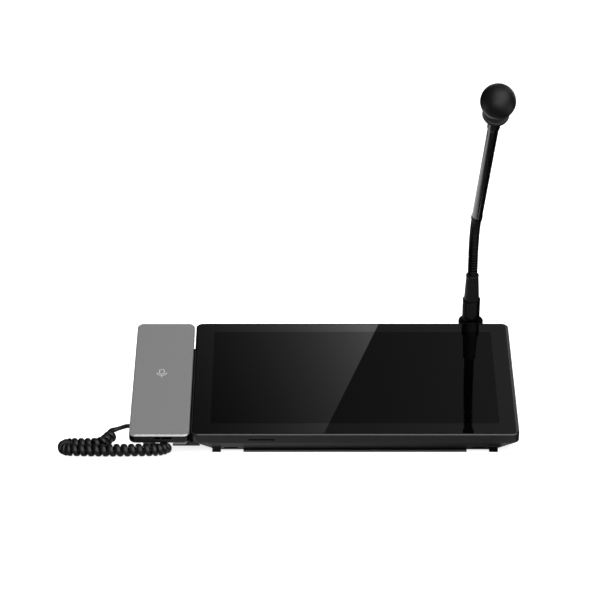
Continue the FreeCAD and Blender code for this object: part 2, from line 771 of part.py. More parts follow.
def front_feet():
    """Two rubber feet that wrap the lower front edge and stand on the desk."""
    far = 2 * UNIT_HALF
    desk = box(-far, far, -far, far, -far, 0)
    housing = place(housing_form(0, -FRAME_DEPTH, FLOOR_Z))
    feet = []
    for x in (-FOOT_X, FOOT_X):
        block = box(
            x - FOOT_WIDE / 2, x + FOOT_WIDE / 2, FOOT_FRONT, FOOT_FRONT + FOOT_LONG,
            FLOOR_Z - FOOT_REACH, FOOT_TOP,
        )
        top_front = [e for e in edges_at_top(block, FOOT_TOP) if e.BoundBox.YMax < FOOT_FRONT + TINY]
        block = block.makeChamfer(FOOT_BEVEL, top_front)
        foot = place(block).cut(housing).cut(desk)
        feet.append(max(foot.Solids, key=lambda s: s.Volume))
    return compound(feet)


def flange_point(y, below):
    """The height of the unit's underside, or of a face below it, at a depth in the part's frame."""
    edge = placed_point(V(0, 0, FLOOR_Z - below))
    return edge.z + (y - edge.y) * SIN_TILT / COS_TILT


def access_hole(x, y):
    """The hole in the stand's base and pad that a screwdriver reaches a stand screw through."""
    top = STAND_PAD + STAND_SHEET + PAST
    return cylinder(ACCESS_HOLE, x, placed_point(V(x, y, FLOOR_Z)).y, -PAST, top)


def stand_plate():
    """One bent sheet: a base on the desk, an upright at the back and a flange under the unit."""
    t = STAND_SHEET
    low = STAND_PAD
    front = STAND_FRONT_Y - ORIGIN_Y
    back = front + STAND_DEPTH
    top_back = V(0, back, flange_point(back, 0))
    tip = top_back - ALONG_GLASS * FLANGE_LENGTH
    corners = [
        V(0, front, low),
        V(0, back, low),
        top_back,
        tip,
        tip - OUT_OF_GLASS * t,
        V(0, back - t, flange_point(back - t, t)),
        V(0, back - t, low + t),
        V(0, front, low + t),
    ]
    moved = [V(-STAND_WIDTH / 2, p.y, p.z) for p in corners]
    body = Part.Face(Part.makePolygon(moved + [moved[0]])).extrude(V(STAND_WIDTH, 0, 0))
    for corner, radius in (
        (corners[1], STAND_BEND + t), (corners[2], STAND_BEND + t),
        (corners[5], STAND_BEND), (corners[6], STAND_BEND),
    ):
        edges = [
            e for e in body.Edges
            if e.BoundBox.XLength > STAND_WIDTH - PAST
            and abs(e.BoundBox.YMin - corner.y) < TINY
            and abs(e.BoundBox.ZMin - corner.z) < TINY
        ]
        body = body.makeFillet(radius, edges)
    for x, y in stand_screw_places():
        hole = screw_hole(x, y, FLOOR_Z - t - PAST, FLOOR_Z + PAST)
        body = body.cut(place(hole)).cut(access_hole(x, y))
    return body


def stand_pad():
    """A thin rubber sheet under the stand's base."""
    front = STAND_FRONT_Y - ORIGIN_Y
    body = box(
        -STAND_WIDTH / 2, STAND_WIDTH / 2, front, front + STAND_DEPTH - STAND_BEND - STAND_SHEET,
        0, STAND_PAD,
    )
    for x, y in stand_screw_places():
        body = body.cut(access_hole(x, y))
    return body


def stand_screws():
    seat = FLOOR_Z - STAND_SHEET
    top = FLOOR_INSIDE + SCREW_REACH
    return compound(
        [
            screw(x, y, seat, top, SCREW_DIAMETER, SCREW_HEAD, SCREW_HEAD_HIGH)
            for x, y in stand_screw_places()
        ]
    )


# Microphone socket and plug


def contact_places():
    return [
        (
            MIC_X + CONTACT_CIRCLE / 2 * math.sin(2 * math.pi * i / CONTACT_COUNT),
            MIC_Y + CONTACT_CIRCLE / 2 * math.cos(2 * math.pi * i / CONTACT_COUNT),
        )
        for i in range(CONTACT_COUNT)
    ]


def mic_socket():
    ring = cylinder(RING_DIAMETER, MIC_X, MIC_Y, RING_BOTTOM, RING_TOP)
    ring = ring.makeChamfer(RING_BEVEL, edges_at_top(ring, RING_TOP))
    barrel = cylinder(BARREL_DIAMETER, MIC_X, MIC_Y, FLOOR_INSIDE, RING_BOTTOM)
    bore = cylinder(NOSE_DIAMETER + 2 * SLIP, MIC_X, MIC_Y, FLOOR_INSIDE - PAST, RING_TOP + PAST)
    return ring.fuse(barrel).cut(bore).removeSplitter()


def socket_contacts():
    top = FLOOR_INSIDE + CONTACT_DISC
    disc = cylinder(NOSE_DIAMETER, MIC_X, MIC_Y, FLOOR_INSIDE, top)
    pins = [
        cylinder(CONTACT_DIAMETER, x, y, top, top + CONTACT_LONG) for x, y in contact_places()
    ]
    return disc.fuse(pins).removeSplitter()


def latch_outline(grow, y0, y1):
    """The latch's outline seen from the front: straight sides and a round lower end."""
    half = LATCH_WIDE / 2 + grow
    centre = LATCH_BOTTOM + LATCH_WIDE / 2
    block = box(MIC_X - half, MIC_X + half, y0, y1, centre, LATCH_TOP + grow)
    round_end = Part.makeCylinder(half, y1 - y0, V(MIC_X, y0, centre), V(0, 1, 0))
    return block.fuse(round_end).removeSplitter()


def plug_latch():
    front = MIC_Y - PLUG_DIAMETER / 2
    block = latch_outline(0, front - PAST, front + LATCH_THICK)
    skin = cylinder(PLUG_DIAMETER + 2 * LATCH_PROUD, MIC_X, MIC_Y, 0, PLUG_TOP)
    return block.common(skin)


def mic_plug():
    front = MIC_Y - PLUG_DIAMETER / 2
    body = cylinder(PLUG_DIAMETER, MIC_X, MIC_Y, RING_TOP, PLUG_TOP)
    body = body.makeChamfer(PLUG_BEVEL, edges_at_top(body, PLUG_TOP))
    nose = cylinder(NOSE_DIAMETER, MIC_X, MIC_Y, RING_TOP - NOSE_LONG, RING_TOP)
    body = body.fuse(nose)
    pocket_back = front + LATCH_THICK + LATCH_TRAVEL + RUNNING
    body = body.cut(latch_outline(RUNNING / 2, front - PAST, pocket_back))
    nose_end = RING_TOP - NOSE_LONG
    for x, y in contact_places():
        wide = CONTACT_DIAMETER + 2 * CONTACT_PLAY
        body = body.cut(cylinder(wide, x, y, nose_end - PAST, RING_TOP - CONTACT_PLAY))
    return body.removeSplitter()


def neck_sleeve():
    """The tapered sleeve between the plug and the flexible neck, with a rounded lip."""
    lip = SLEEVE_END - SLEEVE_LIP_LONG
    points = [
        (0, PLUG_TOP),
        (SLEEVE_BOTTOM / 2, PLUG_TOP),
        (SLEEVE_TOP / 2, lip - SLEEVE_LIP_SLOPE),
        (SLEEVE_LIP / 2, lip),
        (SLEEVE_LIP / 2, SLEEVE_END - SLEEVE_LIP_BEVEL),
        (SLEEVE_LIP / 2 - SLEEVE_LIP_BEVEL, SLEEVE_END),
        (NECK_CORE / 2 + SLIP, SLEEVE_END),
        (NECK_CORE / 2 + SLIP, SLEEVE_END - SLEEVE_SOCKET),
        (0, SLEEVE_END - SLEEVE_SOCKET),
    ]
    return revolved(points, MIC_X, MIC_Y)


# Flexible neck


def neck_turn():
    return NECK_BEND / (SEGMENTS - 1 - NECK_STRAIGHT_JOINTS)


def neck_side():
    """The way the neck leans, square to the unit's own upright."""
    turned = math.radians(NECK_TURNED)
    return V(math.sin(turned), -math.cos(turned), 0)


def neck_axis():
    """The axis that the neck bends about at rest."""
    return V(0, 0, 1).cross(neck_side())


def neck_way(lean):
    a = math.radians(lean)
    return V(0, 0, 1) * math.cos(a) + neck_side() * math.sin(a)


def neck_line():
    """The start point and lean of every segment, and of the tube after them."""
    point = V(MIC_X, MIC_Y, SLEEVE_END)
    lean = 0.0
    line = []
    for i in range(SEGMENTS):
        line.append((point, lean))
        point = point + neck_way(lean) * SEGMENT_LONG
        if NECK_STRAIGHT_JOINTS <= i < SEGMENTS - 1:
            lean += neck_turn()
    line.append((point, lean))
    return line


def aimed(shape, point, lean):
    """Leans a shape drawn upright at the origin and moves it to a point of the neck."""
    out = shape.copy()
    out.rotate(V(0, 0, 0), neck_axis(), lean)
    out.translate(point)
    return out


def neck_ball(z, grow):
    return Part.makeSphere(NECK_BALL / 2 + grow, V(0, 0, z))


def neck_segment(i):
    """A core with three ribs, a cup at its foot and a ball at its top, which the next one turns on."""
    low = -SLEEVE_SOCKET if i == 0 else SEGMENT_GAP / 2
    high = SEGMENT_LONG if i == SEGMENTS - 1 else SEGMENT_LONG - SEGMENT_GAP / 2
    core = cylinder(NECK_CORE, 0, 0, low, high)
    ribs = []
    for k in range(RIBS_PER_SEGMENT):
        middle = (k + 0.5) * RIB_PITCH
        ribs.append(disc(NECK_DIAMETER, middle - RIB_WIDE / 2, middle + RIB_WIDE / 2, RIB_EASE))
    body = core.fuse(ribs)
    if i < SEGMENTS - 1:
        body = body.fuse(neck_ball(SEGMENT_LONG, 0))
    if i > 0:
        body = body.cut(neck_ball(0, SLIP))
    return body.removeSplitter()


def neck_collar():
    return disc(COLLAR_DIAMETER, 0, COLLAR_LONG, COLLAR_BEVEL)


def head_base():
    """Where the head's plate starts, along the tube from the collar's foot."""
    return COLLAR_LONG + TUBE_LONG - HEAD_PLATE


def mic_tube():
    end = head_base() - CONE_LONG
    body = cylinder(TUBE_DIAMETER, 0, 0, COLLAR_LONG, end)
    return body.cut(cylinder(TUBE_DIAMETER - 2 * TUBE_WALL, 0, 0, COLLAR_LONG - PAST, end + PAST))


def head_flange():
    base = head_base()
    r = LIGHT_RING_DIAMETER / 2
    return revolved(
        [
            (0, base - CONE_LONG), (TUBE_DIAMETER / 2, base - CONE_LONG),
            (CONE_DIAMETER / 2, base), (r - HEAD_BEVEL, base), (r, base + HEAD_BEVEL),
            (r, base + HEAD_PLATE), (0, base + HEAD_PLATE),
        ]
    )


def light_ring():
    base = head_base() + HEAD_PLATE
    r = LIGHT_RING_DIAMETER / 2
    inner = HOLDER_DIAMETER / 2 + SLIP
    return revolved(
        [
            (inner, base), (r, base), (r, base + LIGHT_RING_HIGH - HEAD_BEVEL),
            (r - HEAD_BEVEL, base + LIGHT_RING_HIGH), (inner, base + LIGHT_RING_HIGH),
        ]
    )


def capsule_holder():
    base = head_base() + HEAD_PLATE
    top = base + HOLDER_LONG
    body = cylinder(HOLDER_DIAMETER, 0, 0, base, top)
    return body.cut(cylinder(CAPSULE_DIAMETER + 2 * SLIP, 0, 0, top - CAPSULE_SEAT, top + PAST))


def mic_capsule():
    end = head_base() + HEAD_PLATE + CAPSULE_END
    return cylinder(CAPSULE_DIAMETER, 0, 0, end - CAPSULE_LONG, end)


def windscreen():
    """The foam ball, with a short collar and a bore that fits over the capsule."""
    ring_plane = COLLAR_LONG + TUBE_LONG
    centre = ring_plane + BALL_CENTRE
    ball = Part.makeSphere(BALL_DIAMETER / 2, V(0, 0, centre))
    seat = ring_plane + LIGHT_RING_HIGH + RUNNING
    collar = cylinder(BALL_NECK_DIAMETER, 0, 0, seat, centre)
    top = ring_plane + CAPSULE_END + RUNNING
    bore = cylinder(HOLDER_DIAMETER + 2 * RUNNING, 0, 0, seat - PAST, top)
    return ball.fuse(collar).cut(bore).removeSplitter()


# Hand microphone


def handset_cover():
    body = rounded(HAND_LEFT, HAND_RIGHT, HAND_FRONT, HAND_BACK, -COVER_THICK, 0, HAND_CORNER)
    body = body.makeChamfer(COVER_BEVEL, edges_at_top(body, 0))
    return body.cut(talk_icon())


def talk_icon():
    """A plain microphone pictogram: a capsule outline, a curved holder and a short stem."""
    z0 = -ICON_DEEP
    line = ICON_LINE
    half = ICON_CAPSULE_WIDE / 2
    reach = ICON_CAPSULE_LONG / 2
    middle = ICON_Y + ICON_LIFT
    outer = rounded(
        ICON_X - half, ICON_X + half, middle - reach, middle + reach, z0, 0, half - THIN,
    )
    inner = rounded(
        ICON_X - half + line, ICON_X + half - line, middle - reach + line,
        middle + reach - line, z0 - PAST, PAST, half - line - THIN,
    )
    centre = middle - reach + half
    r = ICON_HOLDER_RADIUS
    ring = cylinder(2 * r, ICON_X, centre, z0, 0)
    ring = ring.cut(cylinder(2 * (r - line), ICON_X, centre, z0 - PAST, PAST))
    ring = ring.cut(box(ICON_X - 2 * r, ICON_X + 2 * r, centre, centre + 2 * r, z0 - PAST, PAST))
    stem = box(
        ICON_X - line / 2, ICON_X + line / 2, centre - r - ICON_STEM, centre - r + line / 2, z0, 0,
    )
    return compound([outer.cut(inner), ring.fuse(stem).removeSplitter()])


def hand_screw_places():
    return [
        (HAND_MIDDLE + side * HAND_SCREW_X, y)
        for side in (-1, 1)
        for y in (HAND_SCREW_FRONT, HAND_SCREW_BACK)
    ]


def slot_block():
    """The speech slot in the hand microphone's front end, with its thin rib left standing."""
    block = box(
        SLOT_X - SLOT_WIDE / 2, SLOT_X + SLOT_WIDE / 2, HAND_FRONT - PAST,
        HAND_FRONT + HAND_WALL, SLOT_Z - SLOT_HIGH / 2, SLOT_Z + SLOT_HIGH / 2,
    )
    rib = box(
        SLOT_RIB_X - SLOT_RIB / 2, SLOT_RIB_X + SLOT_RIB / 2, HAND_FRONT - PAST,
        HAND_FRONT + HAND_WALL, SLOT_Z - SLOT_HIGH, SLOT_Z + SLOT_HIGH,
    )
    return block.cut(rib)


def handset_shell():
    body = rounded(
        HAND_LEFT, HAND_RIGHT, HAND_FRONT, HAND_BACK, HAND_BOTTOM, -COVER_THICK, HAND_CORNER,
    )
    edges = [e for e in body.Edges if e.BoundBox.ZMax < HAND_BOTTOM + TINY]
    body = body.makeFillet(HAND_ROUND, edges)
    inset = HAND_SIDE
    inside = rounded(
        HAND_LEFT + inset, HAND_RIGHT - inset, HAND_FRONT + inset, HAND_BACK - inset,
        HAND_FLOOR, -COVER_THICK + PAST, HAND_CORNER - HAND_WALL,
    )
    body = body.cut(inside).cut(slot_block())
    for x, y in hand_screw_places():
        low = HAND_BOTTOM - PAST
        body = body.fuse(cylinder(HAND_PILLAR, x, y, HAND_FLOOR, -COVER_THICK))
        body = body.cut(cylinder(HAND_SCREW_DIAMETER + 2 * SLIP, x, y, low, 0))
        body = body.cut(cylinder(HAND_SCREW_HEAD + 2 * SLIP, x, y, low, HAND_SCREW_SEAT))
    return body.cut(boot_hole()).removeSplitter()


def boot_hole():
    """The round hole in the hand microphone's floor and jack that the cord's plug goes in."""
    return cylinder(BOOT_DIAMETER + 2 * SLIP, CORD_START_X, CORD_START_Y, HAND_BOTTOM - PAST, HAND_PLUG_TOP)


def handset_screws():
    return compound(
        [
            screw(
                x, y, HAND_SCREW_SEAT, -COVER_THICK - HAND_SCREW_SHORT, HAND_SCREW_DIAMETER,
                HAND_SCREW_HEAD, HAND_SCREW_HEAD_HIGH,
            )
            for x, y in hand_screw_places()
        ]
    )


def handset_board():
    """The hand microphone's board on two rails that stand on the shell's floor."""
    half = HAND_BOARD_WIDE / 2
    front = HAND_BOARD_FRONT
    back = MAGNET_BACK_Y
    low = HAND_BOARD_TOP - HAND_BOARD_THICK
    board = box(MAGNET_X - half, MAGNET_X + half, front, back, low, HAND_BOARD_TOP)
    rails = [
        box(x, x + HAND_RAIL, front, back, HAND_FLOOR, low)
        for x in (MAGNET_X - half, MAGNET_X + half - HAND_RAIL)
    ]
    middle = (front + back) / 2
    chip = box(
        MAGNET_X - HAND_CHIP / 2, MAGNET_X + HAND_CHIP / 2, middle - HAND_CHIP / 2,
        middle + HAND_CHIP / 2, HAND_BOARD_TOP, HAND_BOARD_TOP + HAND_CHIP_HIGH,
    )
    return board.fuse(rails + [chip]).removeSplitter()


def earpiece():
    top = HAND_FLOOR + EARPIECE_HIGH
    body = cylinder(EARPIECE_DIAMETER, MAGNET_X, EARPIECE_Y, HAND_FLOOR, top)
    step = cylinder(EARPIECE_DIAMETER / 2, MAGNET_X, EARPIECE_Y, top, top + EARPIECE_STEP)
    return body.fuse(step).removeSplitter()


def handset_capsule():
    top = HAND_FLOOR + CAPSULE_BODY_HIGH
    return cylinder(CAPSULE_BODY_DIAMETER, CAPSULE_BODY_X, CAPSULE_BODY_Y, HAND_FLOOR, top)


def handset_magnets():
    return compound(
        [
            cylinder(MAGNET_DIAMETER, MAGNET_X, y, HAND_FLOOR, HAND_FLOOR + MAGNET_HIGH)
            for y in (MAGNET_FRONT_Y, MAGNET_BACK_Y)
        ]
    )


def handset_jack():
    """The block that holds the cord's plug inside the shell."""
    half = HAND_JACK_WIDE / 2
    body = box(
        CORD_START_X - half, CORD_START_X + half, HAND_JACK_FRONT, CORD_START_Y + half, HAND_FLOOR,
        HAND_JACK_TOP,
    )
    return body.cut(boot_hole())


def handset_plug():
    low = HAND_BOTTOM - BOOT_LONG
    return cylinder(BOOT_DIAMETER, CORD_START_X, CORD_START_Y, low, HAND_PLUG_TOP)


# Cradle


def cradle_notch(z0, z1):
    return box(NOTCH_LEFT, NOTCH_RIGHT, -PAST, NOTCH_DEEP, z0, z1)


def cradle_fillet():
    """What fills the corner between the plate and the unit's tapered side, clear of that side."""
    body = box(
        CRADLE_RIGHT - SUNK, CRADLE_RIGHT + CRADLE_FILLET, 0, CRADLE_BACK - CRADLE_CORNER,
        PLATE_BOTTOM, -FRAME_DEPTH - CRADLE_GAP,
    )
    body = body.cut(housing_form(-2 * CRADLE_GAP, -FRAME_DEPTH, FLOOR_Z))
    corner = box(CRADLE_RIGHT - CRADLE_CORNER, CRADLE_RIGHT, 0, CRADLE_CORNER, PLATE_BOTTOM, PLATE_TOP)
    return body.fuse(corner)


def cradle_shell():
    """A plate under the hand microphone, with a closed belly below it and a fillet at the unit."""
    plate = rounded(
        CRADLE_LEFT, CRADLE_RIGHT, 0, CRADLE_BACK, PLATE_BOTTOM, PLATE_TOP, CRADLE_CORNER,
    )
    belly = rounded(
        CRADLE_LEFT, BELLY_RIGHT, BELLY_FRONT, BELLY_BACK, FLOOR_Z, PLATE_BOTTOM + SUNK,
        CRADLE_CORNER,
    )
    inside = rounded(
        CRADLE_LEFT + BELLY_WALL, BELLY_RIGHT - BELLY_WALL, BELLY_FRONT + BELLY_WALL,
        BELLY_BACK - BELLY_WALL, BELLY_FLOOR, PLATE_BOTTOM, CRADLE_CORNER - BELLY_WALL,
    )
    rim = box(
        CRADLE_RIGHT - CRADLE_RIM, CRADLE_RIGHT, 0, CRADLE_BACK - CRADLE_CORNER,
        PLATE_TOP - SUNK, PAD_TOP + CRADLE_RIM_HIGH,
    )
    body = plate.fuse([belly, rim, cradle_fillet()]).cut(inside)
    body = body.cut(cradle_notch(PLATE_BOTTOM - PAST, PLATE_TOP + PAST))
    body = body.cut(lead_jack_block(PAST))
    for x, y in cradle_screw_places():
        body = body.fuse(cylinder(PILLAR_DIAMETER, x, y, BELLY_FLOOR - SUNK, PLATE_BOTTOM + SUNK))
        body = body.cut(screw_hole(x, y, FLOOR_Z - PAST, PLATE_BOTTOM))
    return body.removeSplitter()


def cradle_pad():
    """The light pad that the hand microphone lies on."""
    right = CRADLE_RIGHT - CRADLE_RIM - SLIP
    body = rounded(CRADLE_LEFT, right, 0, CRADLE_BACK, PLATE_TOP, PAD_TOP, CRADLE_CORNER)
    return body.cut(cradle_notch(PLATE_TOP - PAST, PAD_TOP + PAST))


def cradle_screw_places():
    return [(CRADLE_SCREW_LEFT, y) for y in (CRADLE_SCREW_FRONT, CRADLE_SCREW_BACK)]


def cradle_bracket():
    """The steel plate that carries the cradle from under the unit."""
    body = rounded(
        BRACKET_LEFT, BRACKET_RIGHT, BRACKET_FRONT, BRACKET_BACK, BRACKET_TOP - BRACKET_THICK,
        BRACKET_TOP, CRADLE_CORNER,
    )
    for x, y in cradle_screw_places() + bracket_screw_places():
        body = body.cut(screw_hole(x, y, BRACKET_TOP - BRACKET_THICK - PAST, BRACKET_TOP + PAST))
    return body


def cradle_screws():
    seat = BRACKET_TOP - BRACKET_THICK
    top = FLOOR_INSIDE + SCREW_REACH
    return compound(
        [
            screw(x, y, seat, top, SCREW_DIAMETER, SCREW_HEAD, SCREW_HEAD_HIGH)
            for x, y in cradle_screw_places() + bracket_screw_places()
        ]
    )


def cradle_magnets():
    return compound(
        [
            cylinder(MAGNET_DIAMETER, MAGNET_X, y, PLATE_BOTTOM - MAGNET_HIGH, PLATE_BOTTOM)
            for y in (MAGNET_FRONT_Y + CRADLE_MAGNET_INSET, MAGNET_BACK_Y - CRADLE_MAGNET_INSET)
        ]
    )


def cradle_board():
    """The board with the sensor that tells whether the hand microphone is in place."""
    clear = PILLAR_DIAMETER / 2 + CRADLE_BOARD_GAP
    front = CRADLE_SCREW_FRONT + clear
    back = CRADLE_SCREW_BACK - clear
    low = BELLY_FLOOR + CRADLE_BOARD_LIFT
    high = low + CRADLE_BOARD_THICK
    left = CRADLE_BOARD_RIGHT - CRADLE_BOARD_WIDE
    middle_x = (left + CRADLE_BOARD_RIGHT) / 2
    middle_y = (front + back) / 2
    board = box(left, CRADLE_BOARD_RIGHT, front, back, low, high)
    half = CRADLE_BOARD_FOOT / 2
    foot = box(
        middle_x - half, middle_x + half, middle_y - half, middle_y + half, BELLY_FLOOR, low,
    )
    half = CRADLE_SENSOR / 2
    sensor = box(
        middle_x - half, middle_x + half, middle_y - half, middle_y + half, high, PLATE_BOTTOM,
    )
    return board.fuse([foot, sensor]).removeSplitter()


def lead_jack_block(past):
    """The jack's block between the belly's floor and the plate, run past the wall to cut it."""
    half = LEAD_JACK_WIDE / 2
    return box(
        CRADLE_LEFT - past, CRADLE_LEFT + LEAD_JACK_LONG, LEAD_JACK_Y - half,
        LEAD_JACK_Y + half, BELLY_FLOOR, PLATE_BOTTOM,
    )


def plug_block(x0, x1, grow):
    half = LEAD_PLUG_WIDE / 2 + grow
    high = LEAD_PLUG_HIGH / 2 + grow
    return box(x0, x1, LEAD_JACK_Y - half, LEAD_JACK_Y + half, LEAD_HEIGHT - high, LEAD_HEIGHT + high)


def cord_jack():
    return lead_jack_block(0).cut(plug_block(CRADLE_LEFT - PAST, LEAD_PLUG_BACK, SLIP))


def cradle_plug():
    return plug_block(CRADLE_LEFT - LEAD_PLUG_OUT, LEAD_PLUG_BACK, 0)


# Cord


def biarc(p0, t0, p1, t1):
    """Two tangent arcs from one point and direction to another."""
    v = p1 - p0
    t = t0 + t1
    a = 2 * (1 - t0.dot(t1))
    b = v.dot(t)
    if a < 1e-9:
        d = v.dot(v) / (4 * v.dot(t1))
    else:
        d = (-b + math.sqrt(b * b + a * v.dot(v))) / a
    q0 = p0 + t0 * d
    q1 = p1 - t1 * d
    joint = (q0 + q1) * 0.5
    return [(p0, q0, joint), (joint, q1, p1)]


def arc_edge(p0, corner, p1):
    """The arc that touches p0-corner at p0 and corner-p1 at p1."""
    middle = (p0 + p1) * 0.5
    up = corner - middle
    half = (p1 - p0).Length / 2
    if up.Length < 1e-4 * half:
        return Part.LineSegment(p0, p1).toShape(), 1e9
    lean = math.atan2(up.Length, half)
    top = middle + up * (half * math.tan(lean / 2) / up.Length)
    return Part.Arc(p0, top, p1).toShape(), half / math.sin(lean)


def coil_axis():
    """The coil's own line on the desk, as straight runs and bends: (kind, data, length, pitch)."""
    y0 = COIL_FRONT_Y + COIL_RIGHT_BEND
    y1 = COIL_FRONT_Y
    x1 = COIL_RIGHT_X - COIL_RIGHT_BEND
    y2 = COIL_FRONT_Y + 2 * COIL_LEFT_BEND
    turn = math.radians(COIL_TURN)
    right_bend = ("bend", V(x1, y0, 0), COIL_RIGHT_BEND, 0.0, -math.pi / 2)
    front_run = ("run", V(x1, y1, 0), V(COIL_LEFT_X, y1, 0))
    left_bend = ("bend", V(COIL_LEFT_X, y1 + COIL_LEFT_BEND, 0), COIL_LEFT_BEND, -math.pi / 2, -math.pi)
    back_run = ("run", V(COIL_LEFT_X, y2, 0), V(COIL_TURN_X, y2, 0))
    last_bend = ("bend", V(COIL_TURN_X, y2 + COIL_TURN_BEND, 0), COIL_TURN_BEND, -math.pi / 2, turn)
    end_way = V(math.cos(turn), math.sin(turn), 0)
    end_start = V(COIL_TURN_X, y2 + COIL_TURN_BEND, 0)
    end_start = end_start + V(math.sin(turn), -math.cos(turn), 0) * COIL_TURN_BEND
    end_run = ("run", end_start, end_start + end_way * COIL_END_RUN)
    return [
        (right_bend, CURL_PITCH_BEND),
        (front_run, CURL_PITCH),
        (left_bend, CURL_PITCH_BEND),
        (back_run, CURL_PITCH),
        (last_bend, CURL_PITCH),
        (end_run, CURL_PITCH),
    ]


def piece_length(piece):
    if piece[0] == "run":
        return (piece[2] - piece[1]).Length
    return abs(piece[4]) * piece[2]


def piece_at(piece, share):
    """The point and direction at a share of a run or bend."""
    if piece[0] == "run":
        way = piece[2] - piece[1]
        return piece[1] + way * share, way.normalize()
    centre, radius, start, sweep = piece[1:]
    a = start + sweep * share
    side = 1 if sweep > 0 else -1
    point = centre + V(math.cos(a), math.sin(a), 0) * radius
    return point, V(-math.sin(a), math.cos(a), 0) * side


def curl_radius(turns):
    """The curls are small under the hand microphone and then grow to their full size."""
    share = min(max((turns - CURLS_SMALL) / CURLS_GROWING, 0), 1)
    return CURL_RADIUS_START + (CURL_RADIUS - CURL_RADIUS_START) * share * share * (3 - 2 * share)


def curl_point(turns, axis):
    """The cord's centre after a number of turns, counted from the lowest point at the start."""
    left = turns
    for piece, pitch in axis:
        count = piece_length(piece) / pitch
        if left <= count or piece is axis[-1][0]:
            middle, way = piece_at(piece, left / count)
            break
        left -= count
    a = 2 * math.pi * turns
    left_side = V(-way.y, way.x, 0)
    around = V(0, 0, -1) * math.cos(a) + left_side * math.sin(a)
    radius = curl_radius(turns)
    return middle + V(0, -ORIGIN_Y, radius + CORD_RADIUS) + around * radius


def curl_way(turns, axis):
    return (curl_point(turns + TURN_STEP, axis) - curl_point(turns - TURN_STEP, axis)).normalize()


def cord_path():
    """The cord's edges, its points for measuring, and its tightest radius."""
    axis = coil_axis()
    total = sum(piece_length(piece) / pitch for piece, pitch in axis)
    turns = math.floor(total) + 0.5
    start = placed_point(V(CORD_START_X, CORD_START_Y, HAND_BOTTOM - BOOT_LONG))
    start_way = OUT_OF_GLASS * -1
    end = placed_point(V(CRADLE_LEFT - LEAD_PLUG_OUT, LEAD_JACK_Y, LEAD_HEIGHT))
    end_way = V(1, 0, 0)
    after = start + start_way * CORD_DIAMETER
    before = end - end_way * CORD_DIAMETER
    knots = [(after, start_way)]
    steps = int(turns * 4)
    for i in range(steps + 1):
        knots.append((curl_point(i / 4, axis), curl_way(i / 4, axis)))
    knots.append((before, end_way))
    edges = [Part.LineSegment(start, after).toShape()]
    tightest = 1e9
    for (p0, t0), (p1, t1) in zip(knots, knots[1:]):
        for a, corner, b in biarc(p0, t0, p1, t1):
            edge, radius = arc_edge(a, corner, b)
            edges.append(edge)
            tightest = min(tightest, radius)
    edges.append(Part.LineSegment(before, end).toShape())
    return edges, tightest, turns


def points_along(edges):
    """Points on the cord's centre line, each with its distance from the start."""
    points = []
    run = 0.0
    for edge in edges:
        count = max(2, int(edge.Length / MEASURE_STEP))
        step = edge.Length / (count - 1)
        spots = edge.discretize(Number=count)[:-1]
        points += [(spot, run + step * k) for k, spot in enumerate(spots)]
        run += edge.Length
    return points


def least_gap(points):
    """The least gap of the cord to itself, past the nearest stretch of the same turn."""
    near = 1e9
    for i, (p, start) in enumerate(points):
        for q, end in points[i + 1:]:
            if end - start > MEASURE_PAST * CORD_DIAMETER:
                gap = (p.x - q.x) ** 2 + (p.y - q.y) ** 2 + (p.z - q.z) ** 2
                near = min(near, gap)
    return math.sqrt(near) - CORD_DIAMETER


def handset_cord():
    edges, tightest, turns = cord_path()
    start = edges[0].Vertexes[0].Point
    circle = Part.Wire([Part.Circle(start, OUT_OF_GLASS, CORD_RADIUS).toShape()])
    tube = Part.Wire(edges).makePipeShell([circle], True, False)
    length = sum(edge.Length for edge in edges)
    share = tube.Volume / (math.pi * CORD_RADIUS ** 2 * length)
    print("cord: length", round(length, 1), "curls", turns, "tightest radius", round(tightest, 2))
    print("cord: volume against section times length", round(share, 4))
    points = points_along(edges)
    lowest = min(point.z for point, run in points) - CORD_RADIUS
    print("cord: least gap to itself", round(least_gap(points), 2), "lowest", round(lowest, 3))
    return tube


# Everything, by node


def nodes():
    line = neck_line()
    head_point, head_lean = line[-1]
    unit_pieces = [
        touch_glass, display_panel, display_gasket, front_frame, fascia_window, light_sensor,
        rear_housing, housing_screws, heat_spreader, main_board, loudspeaker, network_jack,
        stand_screws, mic_socket, socket_contacts, mic_plug, plug_latch, neck_sleeve,
        handset_cover, talk_icon, handset_shell, handset_screws, handset_board, earpiece,
        handset_capsule, handset_magnets, handset_jack, handset_plug, cradle_shell, cradle_pad,
        cradle_bracket, cradle_screws, cradle_magnets, cradle_board, cord_jack, cradle_plug,
    ]
    head_pieces = [
        neck_collar, mic_tube, head_flange, light_ring, capsule_holder, mic_capsule, windscreen,
    ]
    desk_pieces = [front_feet, stand_plate, stand_pad, handset_cord]
    out = {}
    for make in unit_pieces:
        out[make.__name__] = place(make())
    for i in range(SEGMENTS):
        point, lean = line[i]
        out["neck_segment_%d" % (i + 1)] = place(aimed(neck_segment(i), point, lean))
    for make in head_pieces:
        out[make.__name__] = place(aimed(make(), head_point, head_lean))
    for make in desk_pieces:
        out[make.__name__] = make()
    return out


def print_joints():
    """Prints the joints' places and axes for the record, in metres."""
    line = neck_line()
    bend = placed_way(neck_axis())
    for i in range(1, SEGMENTS):
        point = placed_point(line[i][0]) * 0.001
        lean = (line[i - 1][1] + line[i][1]) / 2
        way = placed_way(neck_way(lean))
        axis = bend if i % 2 == 0 else bend.cross(way)
        print("joint", i, [round(c, 6) for c in point], [round(c, 6) for c in axis])
    head_way = placed_way(neck_way(line[-1][1]))
    print("out of glass", [round(c, 6) for c in OUT_OF_GLASS])
    print("along glass", [round(c, 6) for c in ALONG_GLASS])
    print("tube", [round(c, 6) for c in head_way])


def main():
    os.makedirs("parts", exist_ok=True)
    for name, shape in nodes().items():
        shape.exportStep("parts/%s.step" % name)
    print_joints()


main()
